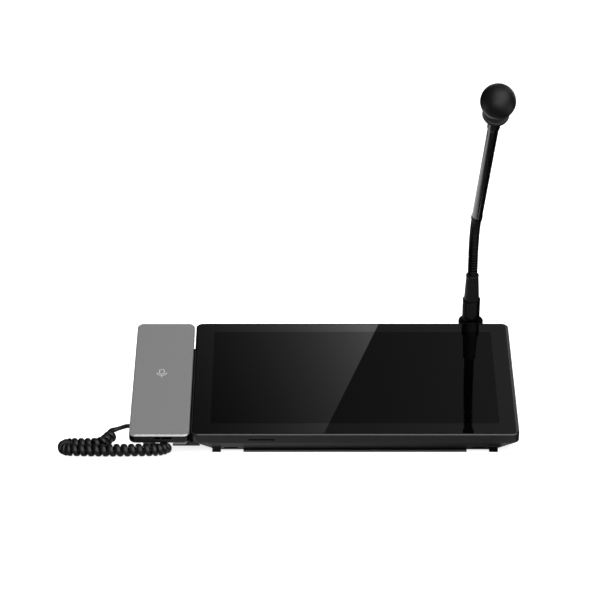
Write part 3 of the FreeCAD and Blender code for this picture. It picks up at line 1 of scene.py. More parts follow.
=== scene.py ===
import json
import math

import bpy
from mathutils import Matrix, Vector, noise


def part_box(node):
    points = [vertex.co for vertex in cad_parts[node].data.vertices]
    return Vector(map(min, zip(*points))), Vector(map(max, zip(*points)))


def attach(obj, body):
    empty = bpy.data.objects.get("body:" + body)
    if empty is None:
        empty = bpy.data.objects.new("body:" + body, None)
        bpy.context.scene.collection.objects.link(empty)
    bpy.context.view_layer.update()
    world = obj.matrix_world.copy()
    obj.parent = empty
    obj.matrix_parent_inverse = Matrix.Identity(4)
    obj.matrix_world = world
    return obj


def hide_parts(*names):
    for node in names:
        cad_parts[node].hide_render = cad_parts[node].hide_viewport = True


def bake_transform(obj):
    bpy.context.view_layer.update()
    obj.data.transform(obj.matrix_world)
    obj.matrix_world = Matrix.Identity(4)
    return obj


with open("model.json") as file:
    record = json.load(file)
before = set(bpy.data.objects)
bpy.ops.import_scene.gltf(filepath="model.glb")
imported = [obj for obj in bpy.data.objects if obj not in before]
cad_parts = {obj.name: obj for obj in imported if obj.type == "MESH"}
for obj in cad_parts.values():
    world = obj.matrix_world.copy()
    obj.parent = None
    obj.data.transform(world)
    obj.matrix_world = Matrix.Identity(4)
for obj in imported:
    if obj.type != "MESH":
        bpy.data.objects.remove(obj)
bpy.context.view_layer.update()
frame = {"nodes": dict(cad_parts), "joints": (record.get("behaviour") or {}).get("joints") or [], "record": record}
nodes = frame["nodes"]

# Sizes are in metres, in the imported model's own frame: X right, Y away from the user, Z up.
# The unit's own frame lies on the glass: x across, y back from the front edge, z out of the glass.
MM = 0.001
TILT = math.radians(18)
GLASS_FRONT = Vector((0, -74.0 * MM, 19.6 * MM))
UNIT = Matrix.Translation(GLASS_FRONT) @ Matrix.Rotation(TILT, 4, "X")
OUT_OF_GLASS = UNIT.to_3x3() @ Vector((0, 0, 1))


def unit_point(x, y, z):
    """A point of the unit's own frame, given in millimetres."""
    return UNIT @ (Vector((x, y, z)) * MM)


# Camera

CAMERA_PLACE = Vector((-48.8, -2486.4, 813.3)) * MM
CAMERA_PITCH = math.radians(15.55)
CAMERA_LENS = 172.44


def make_camera():
    data = bpy.data.cameras.new("camera")
    data.lens = CAMERA_LENS
    camera = bpy.data.objects.new("camera", data)
    camera.location = CAMERA_PLACE
    camera.rotation_euler = (math.pi / 2 - CAMERA_PITCH, 0, 0)
    bpy.context.scene.collection.objects.link(camera)
    bpy.context.scene.camera = camera


# Making meshes

ON_AXIS = 1e-7
SQUARE = ((-1, -1), (1, -1), (1, 1), (-1, 1))
ONE_FACE = [(0, 1, 2, 3)]


def add_object(name, mesh, place=None):
    thing = bpy.data.objects.new(name, mesh)
    if place is not None:
        thing.matrix_world = place
    bpy.context.scene.collection.objects.link(thing)
    return thing


def mesh_from(name, points, faces, smooth=True):
    mesh = bpy.data.meshes.new(name)
    mesh.from_pydata([tuple(p) for p in points], [], faces)
    mesh.validate()
    if smooth:
        mesh.shade_smooth()
    return mesh


def turned_mesh(name, profile, sides):
    """A mesh turned about the upright axis from (radius, height) points, closed on the axis."""
    points = []
    faces = []
    rings = []
    for radius, height in profile:
        if radius < ON_AXIS:
            rings.append([len(points)] * sides)
            points.append((0, 0, height))
            continue
        rings.append(list(range(len(points), len(points) + sides)))
        for i in range(sides):
            angle = 2 * math.pi * i / sides
            points.append((radius * math.cos(angle), radius * math.sin(angle), height))
    for low, high in zip(rings, rings[1:]):
        for i in range(sides):
            j = (i + 1) % sides
            corners = [low[i], low[j], high[j], high[i]]
            faces.append(list(dict.fromkeys(corners)))
    return mesh_from(name, points, [face for face in faces if len(face) > 2])


# Shader groups

FLOAT = "NodeSocketFloat"
COLOUR = "NodeSocketColor"
VECTOR = "NodeSocketVector"
BEVEL_SAMPLES = 6
GRAIN_DETAIL = 3.0
GRAIN_ROUGHNESS = 0.6
CLOUD_SCALE = 38.0
CLOUD_DETAIL = 3.0
GLOSS_SCALE = 90.0


def new_group(name, ins, outs):
    group = bpy.data.node_groups.new(name, "ShaderNodeTree")
    for label, kind, value in ins:
        socket = group.interface.new_socket(label, in_out="INPUT", socket_type=kind)
        socket.default_value = value
    for label, kind in outs:
        group.interface.new_socket(label, in_out="OUTPUT", socket_type=kind)
    return group, group.nodes.new("NodeGroupInput"), group.nodes.new("NodeGroupOutput")


def math_node(tree, operation, first, second=0.0, third=0.0):
    node = tree.nodes.new("ShaderNodeMath")
    node.operation = operation
    for socket, value in zip(node.inputs, (first, second, third)):
        if isinstance(value, (int, float)):
            socket.default_value = value
        else:
            tree.links.new(value, socket)
    return node.outputs[0]


def map_range(tree, value, low, high, to_low, to_high):
    node = tree.nodes.new("ShaderNodeMapRange")
    node.clamp = True
    tree.links.new(value, node.inputs["Value"])
    for label, number in (("From Min", low), ("From Max", high), ("To Min", to_low), ("To Max", to_high)):
        node.inputs[label].default_value = number
    return node.outputs["Result"]


def noise_node(tree, place, scale, detail=2.0, roughness=0.5):
    node = tree.nodes.new("ShaderNodeTexNoise")
    tree.links.new(place, node.inputs["Vector"])
    if isinstance(scale, (int, float)):
        node.inputs["Scale"].default_value = scale
    else:
        tree.links.new(scale, node.inputs["Scale"])
    node.inputs["Detail"].default_value = detail
    node.inputs["Roughness"].default_value = roughness
    return node.outputs["Fac"]


def scaled_colour(tree, colour, factor):
    node = tree.nodes.new("ShaderNodeVectorMath")
    node.operation = "SCALE"
    tree.links.new(colour, node.inputs[0])
    tree.links.new(factor, node.inputs["Scale"])
    return node.outputs[0]


def mixed_colour(tree, factor, first, second):
    """The first colour turned into the second by a factor; each is a socket or a fixed colour."""
    mix = tree.nodes.new("ShaderNodeMix")
    mix.data_type = "RGBA"
    tree.links.new(factor, mix.inputs["Factor"])
    for label, given in (("A", first), ("B", second)):
        if isinstance(given, tuple):
            mix.inputs[label].default_value = (*given, 1)
        else:
            tree.links.new(given, mix.inputs[label])
    return mix.outputs["Result"]


def soft_edge(tree, radius, height, depth):
    """A normal with rounded edges and a bump on it."""
    bevel = tree.nodes.new("ShaderNodeBevel")
    bevel.samples = BEVEL_SAMPLES
    bump = tree.nodes.new("ShaderNodeBump")
    tree.links.new(radius, bevel.inputs["Radius"])
    tree.links.new(depth, bump.inputs["Distance"])
    tree.links.new(height, bump.inputs["Height"])
    tree.links.new(bevel.outputs["Normal"], bump.inputs["Normal"])
    return bump.outputs["Normal"]


def make_skin_group():
    """Moulded or painted skin: a fine grain, faint clouds of shade and gloss, and softened edges."""
    group, enter, leave = new_group(
        "moulded skin",
        [
            ("Colour", COLOUR, (0.02, 0.02, 0.02, 1)),
            ("Shade Spread", FLOAT, 0.12),
            ("Grain Scale", FLOAT, 1800.0),
            ("Grain Depth", FLOAT, 0.02 * MM),
            ("Edge Radius", FLOAT, 0.3 * MM),
            ("Roughness", FLOAT, 0.5),
            ("Roughness Spread", FLOAT, 0.05),
        ],
        [("Colour", COLOUR), ("Roughness", FLOAT), ("Normal", VECTOR)],
    )
    place = group.nodes.new("ShaderNodeTexCoord").outputs["Object"]
    grain = noise_node(group, place, enter.outputs["Grain Scale"], GRAIN_DETAIL, GRAIN_ROUGHNESS)
    cloud = noise_node(group, place, CLOUD_SCALE, CLOUD_DETAIL)
    shade = math_node(group, "SUBTRACT", cloud, 0.5)
    shade = math_node(group, "MULTIPLY_ADD", shade, enter.outputs["Shade Spread"], 1.0)
    speck = math_node(group, "SUBTRACT", grain, 0.5)
    speck = math_node(group, "MULTIPLY", speck, enter.outputs["Shade Spread"])
    shade = math_node(group, "ADD", shade, speck)
    gloss = math_node(group, "SUBTRACT", noise_node(group, place, GLOSS_SCALE), 0.5)
    gloss = math_node(
        group, "MULTIPLY_ADD", gloss, enter.outputs["Roughness Spread"], enter.outputs["Roughness"],
    )
    normal = soft_edge(group, enter.outputs["Edge Radius"], grain, enter.outputs["Grain Depth"])
    group.links.new(scaled_colour(group, enter.outputs["Colour"], shade), leave.inputs["Colour"])
    group.links.new(gloss, leave.inputs["Roughness"])
    group.links.new(normal, leave.inputs["Normal"])
    return group


SKIN = make_skin_group()


def new_material(name):
    made = bpy.data.materials.new(name)
    made.use_nodes = True
    tree = made.node_tree
    return made, tree, tree.nodes["Principled BSDF"]


def skin_material(name, colour, roughness, specular=0.3, metallic=0.0, **skin):
    """A material whose colour, gloss and normal come from the moulded skin."""
    made, tree, shader = new_material(name)
    shader.inputs["Specular IOR Level"].default_value = specular
    shader.inputs["Metallic"].default_value = metallic
    group = tree.nodes.new("ShaderNodeGroup")
    group.node_tree = SKIN
    group.inputs["Colour"].default_value = (*colour, 1)
    group.inputs["Roughness"].default_value = roughness
    for label, value in skin.items():
        group.inputs[label.replace("_", " ").title()].default_value = value
    tree.links.new(group.outputs["Colour"], shader.inputs["Base Color"])
    tree.links.new(group.outputs["Roughness"], shader.inputs["Roughness"])
    tree.links.new(group.outputs["Normal"], shader.inputs["Normal"])
    return made


# Glass

SCREEN_HALF = 128.15 * MM
SCREEN_FRONT = 15.5 * MM
SCREEN_BACK = 159.8 * MM
SCREEN_EDGE = 0.15 * MM
SCREEN_COAT = 0.62
GLASS_HALF = 144.25 * MM
GLASS_FRONT_Y = -0.4 * MM
GLASS_BACK_Y = 173.3 * MM
# the coat fades out by the glass's edges, a painted shade of the gap round the glass; a strip at the right edge is
# painted paler, a painted highlight
EDGE_GAP_SHADE = 0.75 * MM
EDGE_FADE = 0.12 * MM
RIGHT_EDGE_HIGHLIGHT = 142.6 * MM
BORDER_BLACK = (0.0011, 0.0011, 0.0012)
SCREEN_BLACK = (0.0004, 0.0004, 0.0005)
EDGE_HIGHLIGHT_GREY = (0.042, 0.042, 0.043)
INK_ROUGHNESS = 0.4
GLASS_ROUGHNESS = 0.006
GLASS_IOR = 1.5


def unit_place(tree):
    """Where a shaded point lies in the unit's own frame, as x, y and z."""
    place = tree.nodes.new("ShaderNodeTexCoord").outputs["Object"]
    move = tree.nodes.new("ShaderNodeVectorMath")
    move.operation = "SUBTRACT"
    move.inputs[1].default_value = GLASS_FRONT
    tree.links.new(place, move.inputs[0])
    turn = tree.nodes.new("ShaderNodeVectorRotate")
    turn.rotation_type = "X_AXIS"
    turn.inputs["Angle"].default_value = -TILT
    tree.links.new(move.outputs[0], turn.inputs["Vector"])
    split = tree.nodes.new("ShaderNodeSeparateXYZ")
    tree.links.new(turn.outputs[0], split.inputs[0])
    return split.outputs


def glass_material():
    """Black glass: the printed border mirrors a little more than the bonded screen behind it."""
    made, tree, shader = new_material("touch glass")
    x, y = unit_place(tree)[:2]
    side = math_node(tree, "ABSOLUTE", x)
    inside = map_range(tree, side, SCREEN_HALF, SCREEN_HALF + SCREEN_EDGE, 1.0, 0.0)
    front = map_range(tree, y, SCREEN_FRONT - SCREEN_EDGE, SCREEN_FRONT, 0.0, 1.0)
    back = map_range(tree, y, SCREEN_BACK, SCREEN_BACK + SCREEN_EDGE, 1.0, 0.0)
    screen = math_node(tree, "MULTIPLY", math_node(tree, "MULTIPLY", inside, front), back)
    coat = math_node(tree, "MULTIPLY_ADD", screen, SCREEN_COAT - 1.0, 1.0)
    # painted shade: no coat in a thin strip along the glass's edges, so the gap round the glass shows dark
    for place, start, stop in (
        (side, GLASS_HALF - EDGE_GAP_SHADE + EDGE_FADE, GLASS_HALF - EDGE_GAP_SHADE),
        (y, GLASS_FRONT_Y + EDGE_GAP_SHADE - EDGE_FADE, GLASS_FRONT_Y + EDGE_GAP_SHADE),
        (y, GLASS_BACK_Y - EDGE_GAP_SHADE + EDGE_FADE, GLASS_BACK_Y - EDGE_GAP_SHADE),
    ):
        coat = math_node(tree, "MULTIPLY", coat, map_range(tree, place, start, stop, 0.0, 1.0))
    colour = mixed_colour(tree, screen, BORDER_BLACK, SCREEN_BLACK)
    # painted highlight: a paler strip along the glass's right edge
    edge_highlight = map_range(tree, x, RIGHT_EDGE_HIGHLIGHT - EDGE_FADE, RIGHT_EDGE_HIGHLIGHT, 0.0, 1.0)
    tree.links.new(mixed_colour(tree, edge_highlight, colour, EDGE_HIGHLIGHT_GREY), shader.inputs["Base Color"])
    tree.links.new(coat, shader.inputs["Coat Weight"])
    shader.inputs["Roughness"].default_value = INK_ROUGHNESS
    shader.inputs["Specular IOR Level"].default_value = 0.0
    shader.inputs["Coat Roughness"].default_value = GLASS_ROUGHNESS
    shader.inputs["Coat IOR"].default_value = GLASS_IOR
    return made


# Materials of the object's pieces

SLOT_X = -169.8 * MM
SLOT_HALF_WIDE = 7.3 * MM
SLOT_Z = -3.2 * MM
SLOT_HALF_HIGH = 1.05 * MM
SLOT_RIB_X = -171.8 * MM
SLOT_RIB_HALF = 0.7 * MM
SLOT_START = -2.35 * MM
SHELL_LEFT, SHELL_RIGHT = (corner.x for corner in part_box("handset_shell"))
# how wide the painted shade along the shell's left and right sides is
LEFT_END_SHADE = 4.1 * MM
RIGHT_END_SHADE = 1.9 * MM
END_SHADE_FADE = 0.4 * MM
RING_CENTRE = sum(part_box("light_ring"), Vector()) / 2
RING_LINE = 11.15 * MM
RING_FADE = 0.15 * MM
RING_GUIDE = (0.065, 0.065, 0.066)
# between these two cosines the pale guide comes in, as the surface turns to face along the tube
RING_FACING = (0.6, 0.8)
PULL_JOINT = [joint for joint in frame["joints"] if joint["name"] == "windscreen_pull"][0]
TUBE_WAY = Vector(PULL_JOINT["axis"]).normalized()


def shaded_mix(made, factor, other):
    """Mixes another colour into the base colour of a finished skin material, by a factor."""
    tree = made.node_tree
    shader = tree.nodes["Principled BSDF"]
    skin = shader.inputs["Base Color"].links[0].from_socket
    tree.links.new(mixed_colour(tree, factor, skin, other), shader.inputs["Base Color"])


def hand_shell_material():
    """The hand microphone's shell, with painted shade inside the speech slot, on the front face round it and along
    its left and right sides.
    """
    made = skin_material(
        "hand shell plastic", (0.0115, 0.0115, 0.012), 0.42, 0.12,
        edge_radius=0.25 * MM, grain_depth=0.012 * MM,
    )
    tree = made.node_tree
    x, y, z = unit_place(tree)
    # painted shade: black inside the speech slot and on the front face round it, but not on the rib's front face
    across = math_node(tree, "COMPARE", x, SLOT_X, SLOT_HALF_WIDE)
    deep = math_node(tree, "GREATER_THAN", y, SLOT_START)
    level = math_node(tree, "COMPARE", z, SLOT_Z, SLOT_HALF_HIGH)
    rib = math_node(tree, "COMPARE", x, SLOT_RIB_X, SLOT_RIB_HALF)
    beside_rib = math_node(tree, "SUBTRACT", 1.0, rib)
    slot = math_node(tree, "MULTIPLY", across, math_node(tree, "MAXIMUM", deep, beside_rib))
    inside = math_node(tree, "MULTIPLY", slot, level)
    # painted shade: black along the shell's left and right sides
    left_end = SHELL_LEFT + LEFT_END_SHADE
    right_end = SHELL_RIGHT - RIGHT_END_SHADE
    left = map_range(tree, x, left_end, left_end + END_SHADE_FADE, 1.0, 0.0)
    right = map_range(tree, x, right_end - END_SHADE_FADE, right_end, 0.0, 1.0)
    # all of the painted shade of the shell, as one mask
    black = math_node(tree, "MAXIMUM", inside, math_node(tree, "MAXIMUM", left, right))
    shaded_mix(made, black, (0.0, 0.0, 0.0))
    # where the painted shade is, metallic takes the gloss away too, so no reflection shows there
    tree.links.new(black, tree.nodes["Principled BSDF"].inputs["Metallic"])
    return made


def ring_material():
    """The ring under the windscreen: its face is a pale light guide with a thin black line round it."""
    made = skin_material("ring", (0.003, 0.003, 0.0032), 0.3, 0.15)
    tree = made.node_tree
    facing = tree.nodes.new("ShaderNodeVectorMath")
    facing.operation = "DOT_PRODUCT"
    tree.links.new(tree.nodes.new("ShaderNodeTexCoord").outputs["Normal"], facing.inputs[0])
    facing.inputs[1].default_value = TUBE_WAY
    face = map_range(tree, facing.outputs["Value"], *RING_FACING, 0.0, 1.0)
    away = tree.nodes.new("ShaderNodeVectorMath")
    away.operation = "DISTANCE"
    tree.links.new(tree.nodes.new("ShaderNodeTexCoord").outputs["Object"], away.inputs[0])
    away.inputs[1].default_value = RING_CENTRE
    inner = map_range(tree, away.outputs["Value"], RING_LINE, RING_LINE + RING_FADE, 1.0, 0.0)
    shaded_mix(made, math_node(tree, "MULTIPLY", face, inner), RING_GUIDE)
    return made


def make_materials():
    """One material for each slot of the record, by the slot's name."""
    return {
        "glass_black": glass_material(),
        "panel": skin_material("panel back", (0.05, 0.05, 0.055), 0.5),
        "foam_tape": skin_material("foam tape", (0.02, 0.02, 0.02), 0.9),
        "frame_dark": skin_material(
            "frame paint", (0.007, 0.007, 0.0075), 0.36, 0.25, edge_radius=0.15 * MM, grain_depth=0.004 * MM,
        ),
        "window": skin_material("window", (0.0008, 0.0008, 0.0008), 0.12, 0.05, grain_depth=0.0),
        "shell_black": skin_material(
            "shell plastic", (0.0035, 0.0035, 0.0038), 0.42, 0.2,
            edge_radius=0.25 * MM, grain_depth=0.012 * MM,
        ),
        "steel": skin_material(
            "screw steel", (0.30, 0.30, 0.31), 0.32, 0.5, metallic=1.0, grain_depth=0.004 * MM,
            edge_radius=0.12 * MM,
        ),
        "board": skin_material("board", (0.01, 0.08, 0.035), 0.4, grain_scale=900.0),
        "spreader": skin_material("spreader", (0.55, 0.55, 0.57), 0.35, metallic=1.0),
        "speaker": skin_material("speaker", (0.02, 0.02, 0.02), 0.7),
        "socket_shell": skin_material(
            "socket shell", (0.45, 0.45, 0.46), 0.3, metallic=1.0, grain_depth=0.003 * MM,
        ),
        "rubber": skin_material("rubber", (0.0014, 0.0014, 0.0014), 0.34, 0.07, edge_radius=0.2 * MM),
        "stand_paint": skin_material(
            "stand paint", (0.013, 0.013, 0.014), 0.45, 0.35, grain_scale=1200.0, grain_depth=0.02 * MM,
            edge_radius=0.3 * MM,
        ),
        "connector": skin_material(
            "connector", (0.0012, 0.0012, 0.0013), 0.5, 0.02, grain_depth=0.006 * MM,
        ),
        # painted highlight: the latch's black is lighter than the connector's, evenly over the whole latch
        "latch": skin_material("latch", (0.0068, 0.0068, 0.007), 0.45, 0.1, grain_depth=0.01 * MM),
        # painted highlight: the sleeve's black is lighter than the connector's, evenly over the whole sleeve
        "sleeve": skin_material(
            "neck sleeve", (0.0105, 0.0105, 0.0108), 0.42, 0.05, grain_depth=0.006 * MM,
        ),
        "contact": skin_material("contact", (0.75, 0.52, 0.22), 0.25, metallic=1.0),
        "pad_grey": skin_material("cradle pad", (0.20, 0.20, 0.205), 0.6, 0.3),
        "magnet": skin_material("magnet", (0.6, 0.6, 0.6), 0.3, metallic=1.0),
        "cord": skin_material(
            "cord jacket", (0.004, 0.004, 0.0042), 0.36, 0.15, grain_depth=0.006 * MM, edge_radius=0.0,
        ),
        "plug_clear": skin_material("plug", (0.02, 0.02, 0.022), 0.2, 0.5),
        "silver": skin_material(
            "silver paint", (0.197, 0.197, 0.198), 0.34, 0.5, metallic=0.25, shade_spread=0.03,
            grain_scale=5200.0, grain_depth=0.003 * MM, edge_radius=0.35 * MM,
        ),
        "icon_pale": skin_material("icon", (0.37, 0.37, 0.37), 0.4),
        "collar": skin_material("foam collar", (0.014, 0.014, 0.0145), 0.45, 0.15, edge_radius=0.1 * MM),
        "neck": skin_material("neck", (0.0006, 0.0006, 0.0006), 0.32, 0.05, edge_radius=0.0),
        "tube": skin_material("tube paint", (0.0045, 0.0045, 0.0047), 0.2, 0.2, grain_depth=0.002 * MM),
        "ring_light": ring_material(),
        "hand_shell": hand_shell_material(),
        "capsule": skin_material("capsule", (0.4, 0.4, 0.4), 0.4, metallic=1.0),
        "foam": skin_material(
            "foam", (0.0035, 0.0035, 0.0035), 0.42, 0.1, shade_spread=0.5, grain_scale=1300.0,
            grain_depth=0.12 * MM, edge_radius=0.0,
        ),
    }


MATERIALS = make_materials()
# nodes with a material of their own: the hand shell's carries painted shade, the latch's and the sleeve's a
# painted highlight
OWN_FINISH_AND_PAINTED_LIGHT = {
    "plug_latch": "latch", "neck_sleeve": "sleeve", "handset_shell": "hand_shell", "handset_jack": "window",
}


def dress_nodes():
    """Gives each node the material of its slot in the record, or a material of its own: the hand shell's carries
    painted shade, the latch's and the sleeve's a painted highlight.
    """
    for row in frame["record"]["subparts"]:
        node = nodes[row["node"]]
        node.data.materials.clear()
        node.data.materials.append(MATERIALS[OWN_FINISH_AND_PAINTED_LIGHT.get(row["node"], row["material_slot"])])


def finish_piece(piece, slot, body):
    piece.data.materials.clear()
    piece.data.materials.append(MATERIALS[slot])
    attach(piece, body)
    return piece


# Cord

CORD_HALF_WIDE = 2.6 * MM
CORD_HALF_THICK = 2.3 * MM
LEAD_HALF_WIDE = 2.0 * MM
LEAD_HALF_THICK = 1.75 * MM
CURL_GAP = 0.3 * MM
CURL_RADIUS = 3.45 * MM
CURL_RADIUS_START = 2.95 * MM
CURLS_SMALL = 1.75
CURLS_GROWING = 1.5
CURL_PITCH = 6.4 * MM
CURL_PITCH_RIGHT = 4.2 * MM
CURL_PITCH_LEFT = 3.7 * MM
CURL_PITCH_BACK = 5.8 * MM
CURL_PITCH_END = 6.6 * MM
FIRST_CURL = 0.75
COIL_RIGHT_X = -166.2 * MM
COIL_FRONT_Y = -3.4 * MM
COIL_FRONT_BOW = 1.4 * MM
COIL_RIGHT_BEND = 12.0 * MM
COIL_LEFT_X = -250.3 * MM
COIL_LEFT_BEND = 7.6 * MM
COIL_TURN_X = -234.0 * MM
COIL_TURN_BEND = 12.0 * MM
COIL_TURN = math.radians(62)
COIL_END_RUN = 19.0 * MM
COIL_END_LIFT = 3.5 * MM
LONG_RUN = 4 * COIL_LEFT_BEND
POINTS_PER_CURL = 16
SPLINE_CUT = 0.7
JUST_INSIDE = 0.001
CORD_SIDES = 20
CORD_SQUARENESS = 2.5
CORD_START = unit_point(-172.0, 6.8, -10.5)
CORD_END = unit_point(-192.0, 32.0, -15.95)
LEAD_DROP = 2.2 * MM
LAST_CURL_RUN = 4.5 * MM
LAST_CURL_RISE = Vector((0, 0, 0.5)) * MM
END_APPROACH = Vector((10.5, -3.0, -0.5)) * MM
END_STRAIGHT = Vector((3.6, 0, 0)) * MM


def coil_axis():
    """The coil's own line on the desk: straight runs and bends, each with its pitch."""
    quarter = math.pi / 2
    right_x = COIL_RIGHT_X - COIL_RIGHT_BEND
    back_y = COIL_FRONT_Y + 2 * COIL_LEFT_BEND
    right_centre = Vector((right_x, COIL_FRONT_Y + COIL_RIGHT_BEND, 0))
    right_bend = ("bend", right_centre, COIL_RIGHT_BEND, 0.0, -quarter)
    front_run = ("run", Vector((right_x, COIL_FRONT_Y, 0)), Vector((COIL_LEFT_X, COIL_FRONT_Y, 0)))
    left_centre = Vector((COIL_LEFT_X, COIL_FRONT_Y + COIL_LEFT_BEND, 0))
    left_bend = ("bend", left_centre, COIL_LEFT_BEND, -quarter, -2 * quarter)
    back_run = ("run", Vector((COIL_LEFT_X, back_y, 0)), Vector((COIL_TURN_X, back_y, 0)))
    turn_centre = Vector((COIL_TURN_X, back_y + COIL_TURN_BEND, 0))
    last_bend = ("bend", turn_centre, COIL_TURN_BEND, -quarter, COIL_TURN)
    end_way = Vector((math.cos(COIL_TURN), math.sin(COIL_TURN), 0))
    end_start = turn_centre + Vector((end_way.y, -end_way.x, 0)) * COIL_TURN_BEND
    end_stop = end_start + end_way * COIL_END_RUN + Vector((0, 0, COIL_END_LIFT))
    end_run = ("run", end_start, end_stop)
    return [
        (right_bend, CURL_PITCH_RIGHT),
        (front_run, CURL_PITCH),
        (left_bend, CURL_PITCH_LEFT),
        (back_run, CURL_PITCH_BACK),
        (last_bend, CURL_PITCH),
        (end_run, CURL_PITCH_END),
    ]


def piece_length(piece):
    if piece[0] == "run":
        start, stop = piece[1:]
        return (stop - start).length
    radius, sweep = piece[2], piece[4]
    return abs(sweep) * radius


def piece_at(piece, share):
    """The point and direction at a share of a run or bend, and how much the bend closes up its inside."""
    if piece[0] == "run":
        start, stop = piece[1:]
        way = stop - start
        bow = Vector((0, 0, 0))
        if way.length > LONG_RUN:
            bow.y = -COIL_FRONT_BOW * math.sin(math.pi * share)
        return start + way * share + bow, way.normalized(), Vector((0, 0, 0))
    centre, radius, start, sweep = piece[1:]
    angle = start + sweep * share
    side = 1 if sweep > 0 else -1
    outward = Vector((math.cos(angle), math.sin(angle), 0))
    return centre + outward * radius, Vector((-outward.y, outward.x, 0)) * side, outward / radius


def curl_radius(turns):
    """The curls are small under the hand microphone and then grow to their full size."""
    share = min(max((turns - CURLS_SMALL) / CURLS_GROWING, 0), 1)
    return CURL_RADIUS_START + (CURL_RADIUS - CURL_RADIUS_START) * share * share * (3 - 2 * share)


def curl_row(turns, axis):
    """The cord after a number of turns: its centre, the way its flat side lies, and its half sizes."""
    left = turns
    for piece, pitch in axis:
        count = piece_length(piece) / pitch
        if left <= count or piece is axis[-1][0]:
            middle, way, bending = piece_at(piece, left / count)
            break
        left -= count
    angle = 2 * math.pi * turns
    around = Vector((0, 0, -1)) * math.cos(angle) + Vector((-way.y, way.x, 0)) * math.sin(angle)
    radius = curl_radius(turns)
    room = pitch * (1 + radius * around.dot(bending)) - CURL_GAP
    half_wide = min(CORD_HALF_WIDE, room / 2)
    # a smooth spline cuts inside its points, so they stand a little further out
    reach = radius / math.cos(math.pi / POINTS_PER_CURL) ** SPLINE_CUT
    centre = middle + Vector((0, GLASS_FRONT.y, radius + CORD_HALF_THICK)) + around * reach
    return centre, way, half_wide, CORD_HALF_THICK


def cord_rows():
    """The cord's control points, each with the way its flat side lies and its half sizes."""
    axis = coil_axis()
    turns = math.floor(sum(piece_length(piece) / pitch for piece, pitch in axis)) + 0.5
    steps = int(turns * POINTS_PER_CURL)
    first = int(FIRST_CURL * POINTS_PER_CURL)
    curls = [curl_row(i / POINTS_PER_CURL, axis) for i in range(first, steps + 1)]
    lead = (LEAD_HALF_WIDE, LEAD_HALF_THICK)
    first_way = curls[0][1]
    last, last_way = curls[-1][:2]
    along = (last - curls[-2][0]).normalized()
    rows = [(CORD_START, first_way, *lead), (CORD_START - OUT_OF_GLASS * LEAD_DROP, first_way, *lead)]
    rows += curls
    after_curls = last + along * LAST_CURL_RUN + LAST_CURL_RISE
    for spot in (after_curls, CORD_END - END_APPROACH, CORD_END - END_STRAIGHT, CORD_END):
        rows.append((spot, last_way, *lead))
    return rows


def spline_points(points):
    """The points of a smooth spline led by the given ones."""
    curve = bpy.data.curves.new("cord line", "CURVE")
    curve.dimensions = "3D"
    curve.resolution_u = 3
    spline = curve.splines.new("NURBS")
    spline.points.add(len(points) - 1)
    for spot, point in zip(spline.points, points):
        spot.co = (*point, 1)
    spline.order_u = 3
    spline.use_endpoint_u = True
    holder = bpy.data.objects.new("cord line", curve)
    bpy.context.scene.collection.objects.link(holder)
    bpy.context.view_layer.update()
    line = bpy.data.meshes.new_from_object(holder)
    path = [vertex.co.copy() for vertex in line.vertices]
    bpy.data.objects.remove(holder)
    bpy.data.meshes.remove(line)
    return path


def squared_off(value):
    """A cosine or sine bent so that a round section becomes a flatter one with fuller corners."""
    return math.copysign(abs(value) ** (2 / CORD_SQUARENESS), value)


def oval_tube(name, path, rows):
    """A closed tube of rounded flat section along a path, shaped by the rows that led the path."""
    points = []
    faces = []
    for i, centre in enumerate(path):
        # a spline of order three passes each of its points half a span late
        spot = i / (len(path) - 1) * (len(rows) - 2) + 0.5
        spot = min(max(spot, 0), len(rows) - 1 - JUST_INSIDE)
        near, share = int(spot), spot % 1
        before, after = rows[near], rows[near + 1]
        flat = before[1].lerp(after[1], share)
        half_wide = before[2] + (after[2] - before[2]) * share
        half_thick = before[3] + (after[3] - before[3]) * share
        along = (path[min(i + 1, len(path) - 1)] - path[max(i - 1, 0)]).normalized()
        flat = (flat - along * flat.dot(along)).normalized()
        up = along.cross(flat)
        for k in range(CORD_SIDES):
            angle = 2 * math.pi * k / CORD_SIDES
            wide = squared_off(math.cos(angle)) * half_wide
            thick = squared_off(math.sin(angle)) * half_thick
            points.append(centre + flat * wide + up * thick)
    for i in range(len(path) - 1):
        for k in range(CORD_SIDES):
            beside = (k + 1) % CORD_SIDES
            low, high = i * CORD_SIDES, (i + 1) * CORD_SIDES
            faces.append([low + k, low + beside, high + beside, high + k])
    last = (len(path) - 1) * CORD_SIDES
    faces.append(list(range(CORD_SIDES - 1, -1, -1)))
    faces.append(list(range(last, last + CORD_SIDES)))
    return mesh_from(name, points, faces)


def make_cord():
    """The curly cord from the hand microphone's underside round to the cradle's side."""
    rows = cord_rows()
    path = spline_points([row[0] for row in rows])
    cord = add_object("curly_cord", oval_tube("curly_cord", path, rows))
    cord.data.materials.append(MATERIALS["cord"])
    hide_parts("handset_cord")
    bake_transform(cord)


# Microphone head

RING_HALF_THICK = 0.8 * MM
BOSS_RADIUS = 5.6 * MM
BOSS_BORE = 4.9 * MM
BOSS_LONG = 25.0 * MM
TUBE_RADIUS = 4.85 * MM
TUBE_BORE = 3.35 * MM
TUBE_TOP = -1.8 * MM
TUBE_FOOT = -206.3 * MM
END_EASE = 0.4 * MM
BODIES = frame["record"]["behaviour"]["bodies"]
HEAD_BODY = [body for body, held in BODIES.items() if "light_ring" in held][0]
BALL_RADIUS = 15.1 * MM
BALL_COLLAR_RADIUS = 10.0 * MM
BALL_BORE_RADIUS = 6.3 * MM
BALL_CENTRE_HIGH = 22.9 * MM
BALL_STEPS = 72
BALL_SIDES = 160
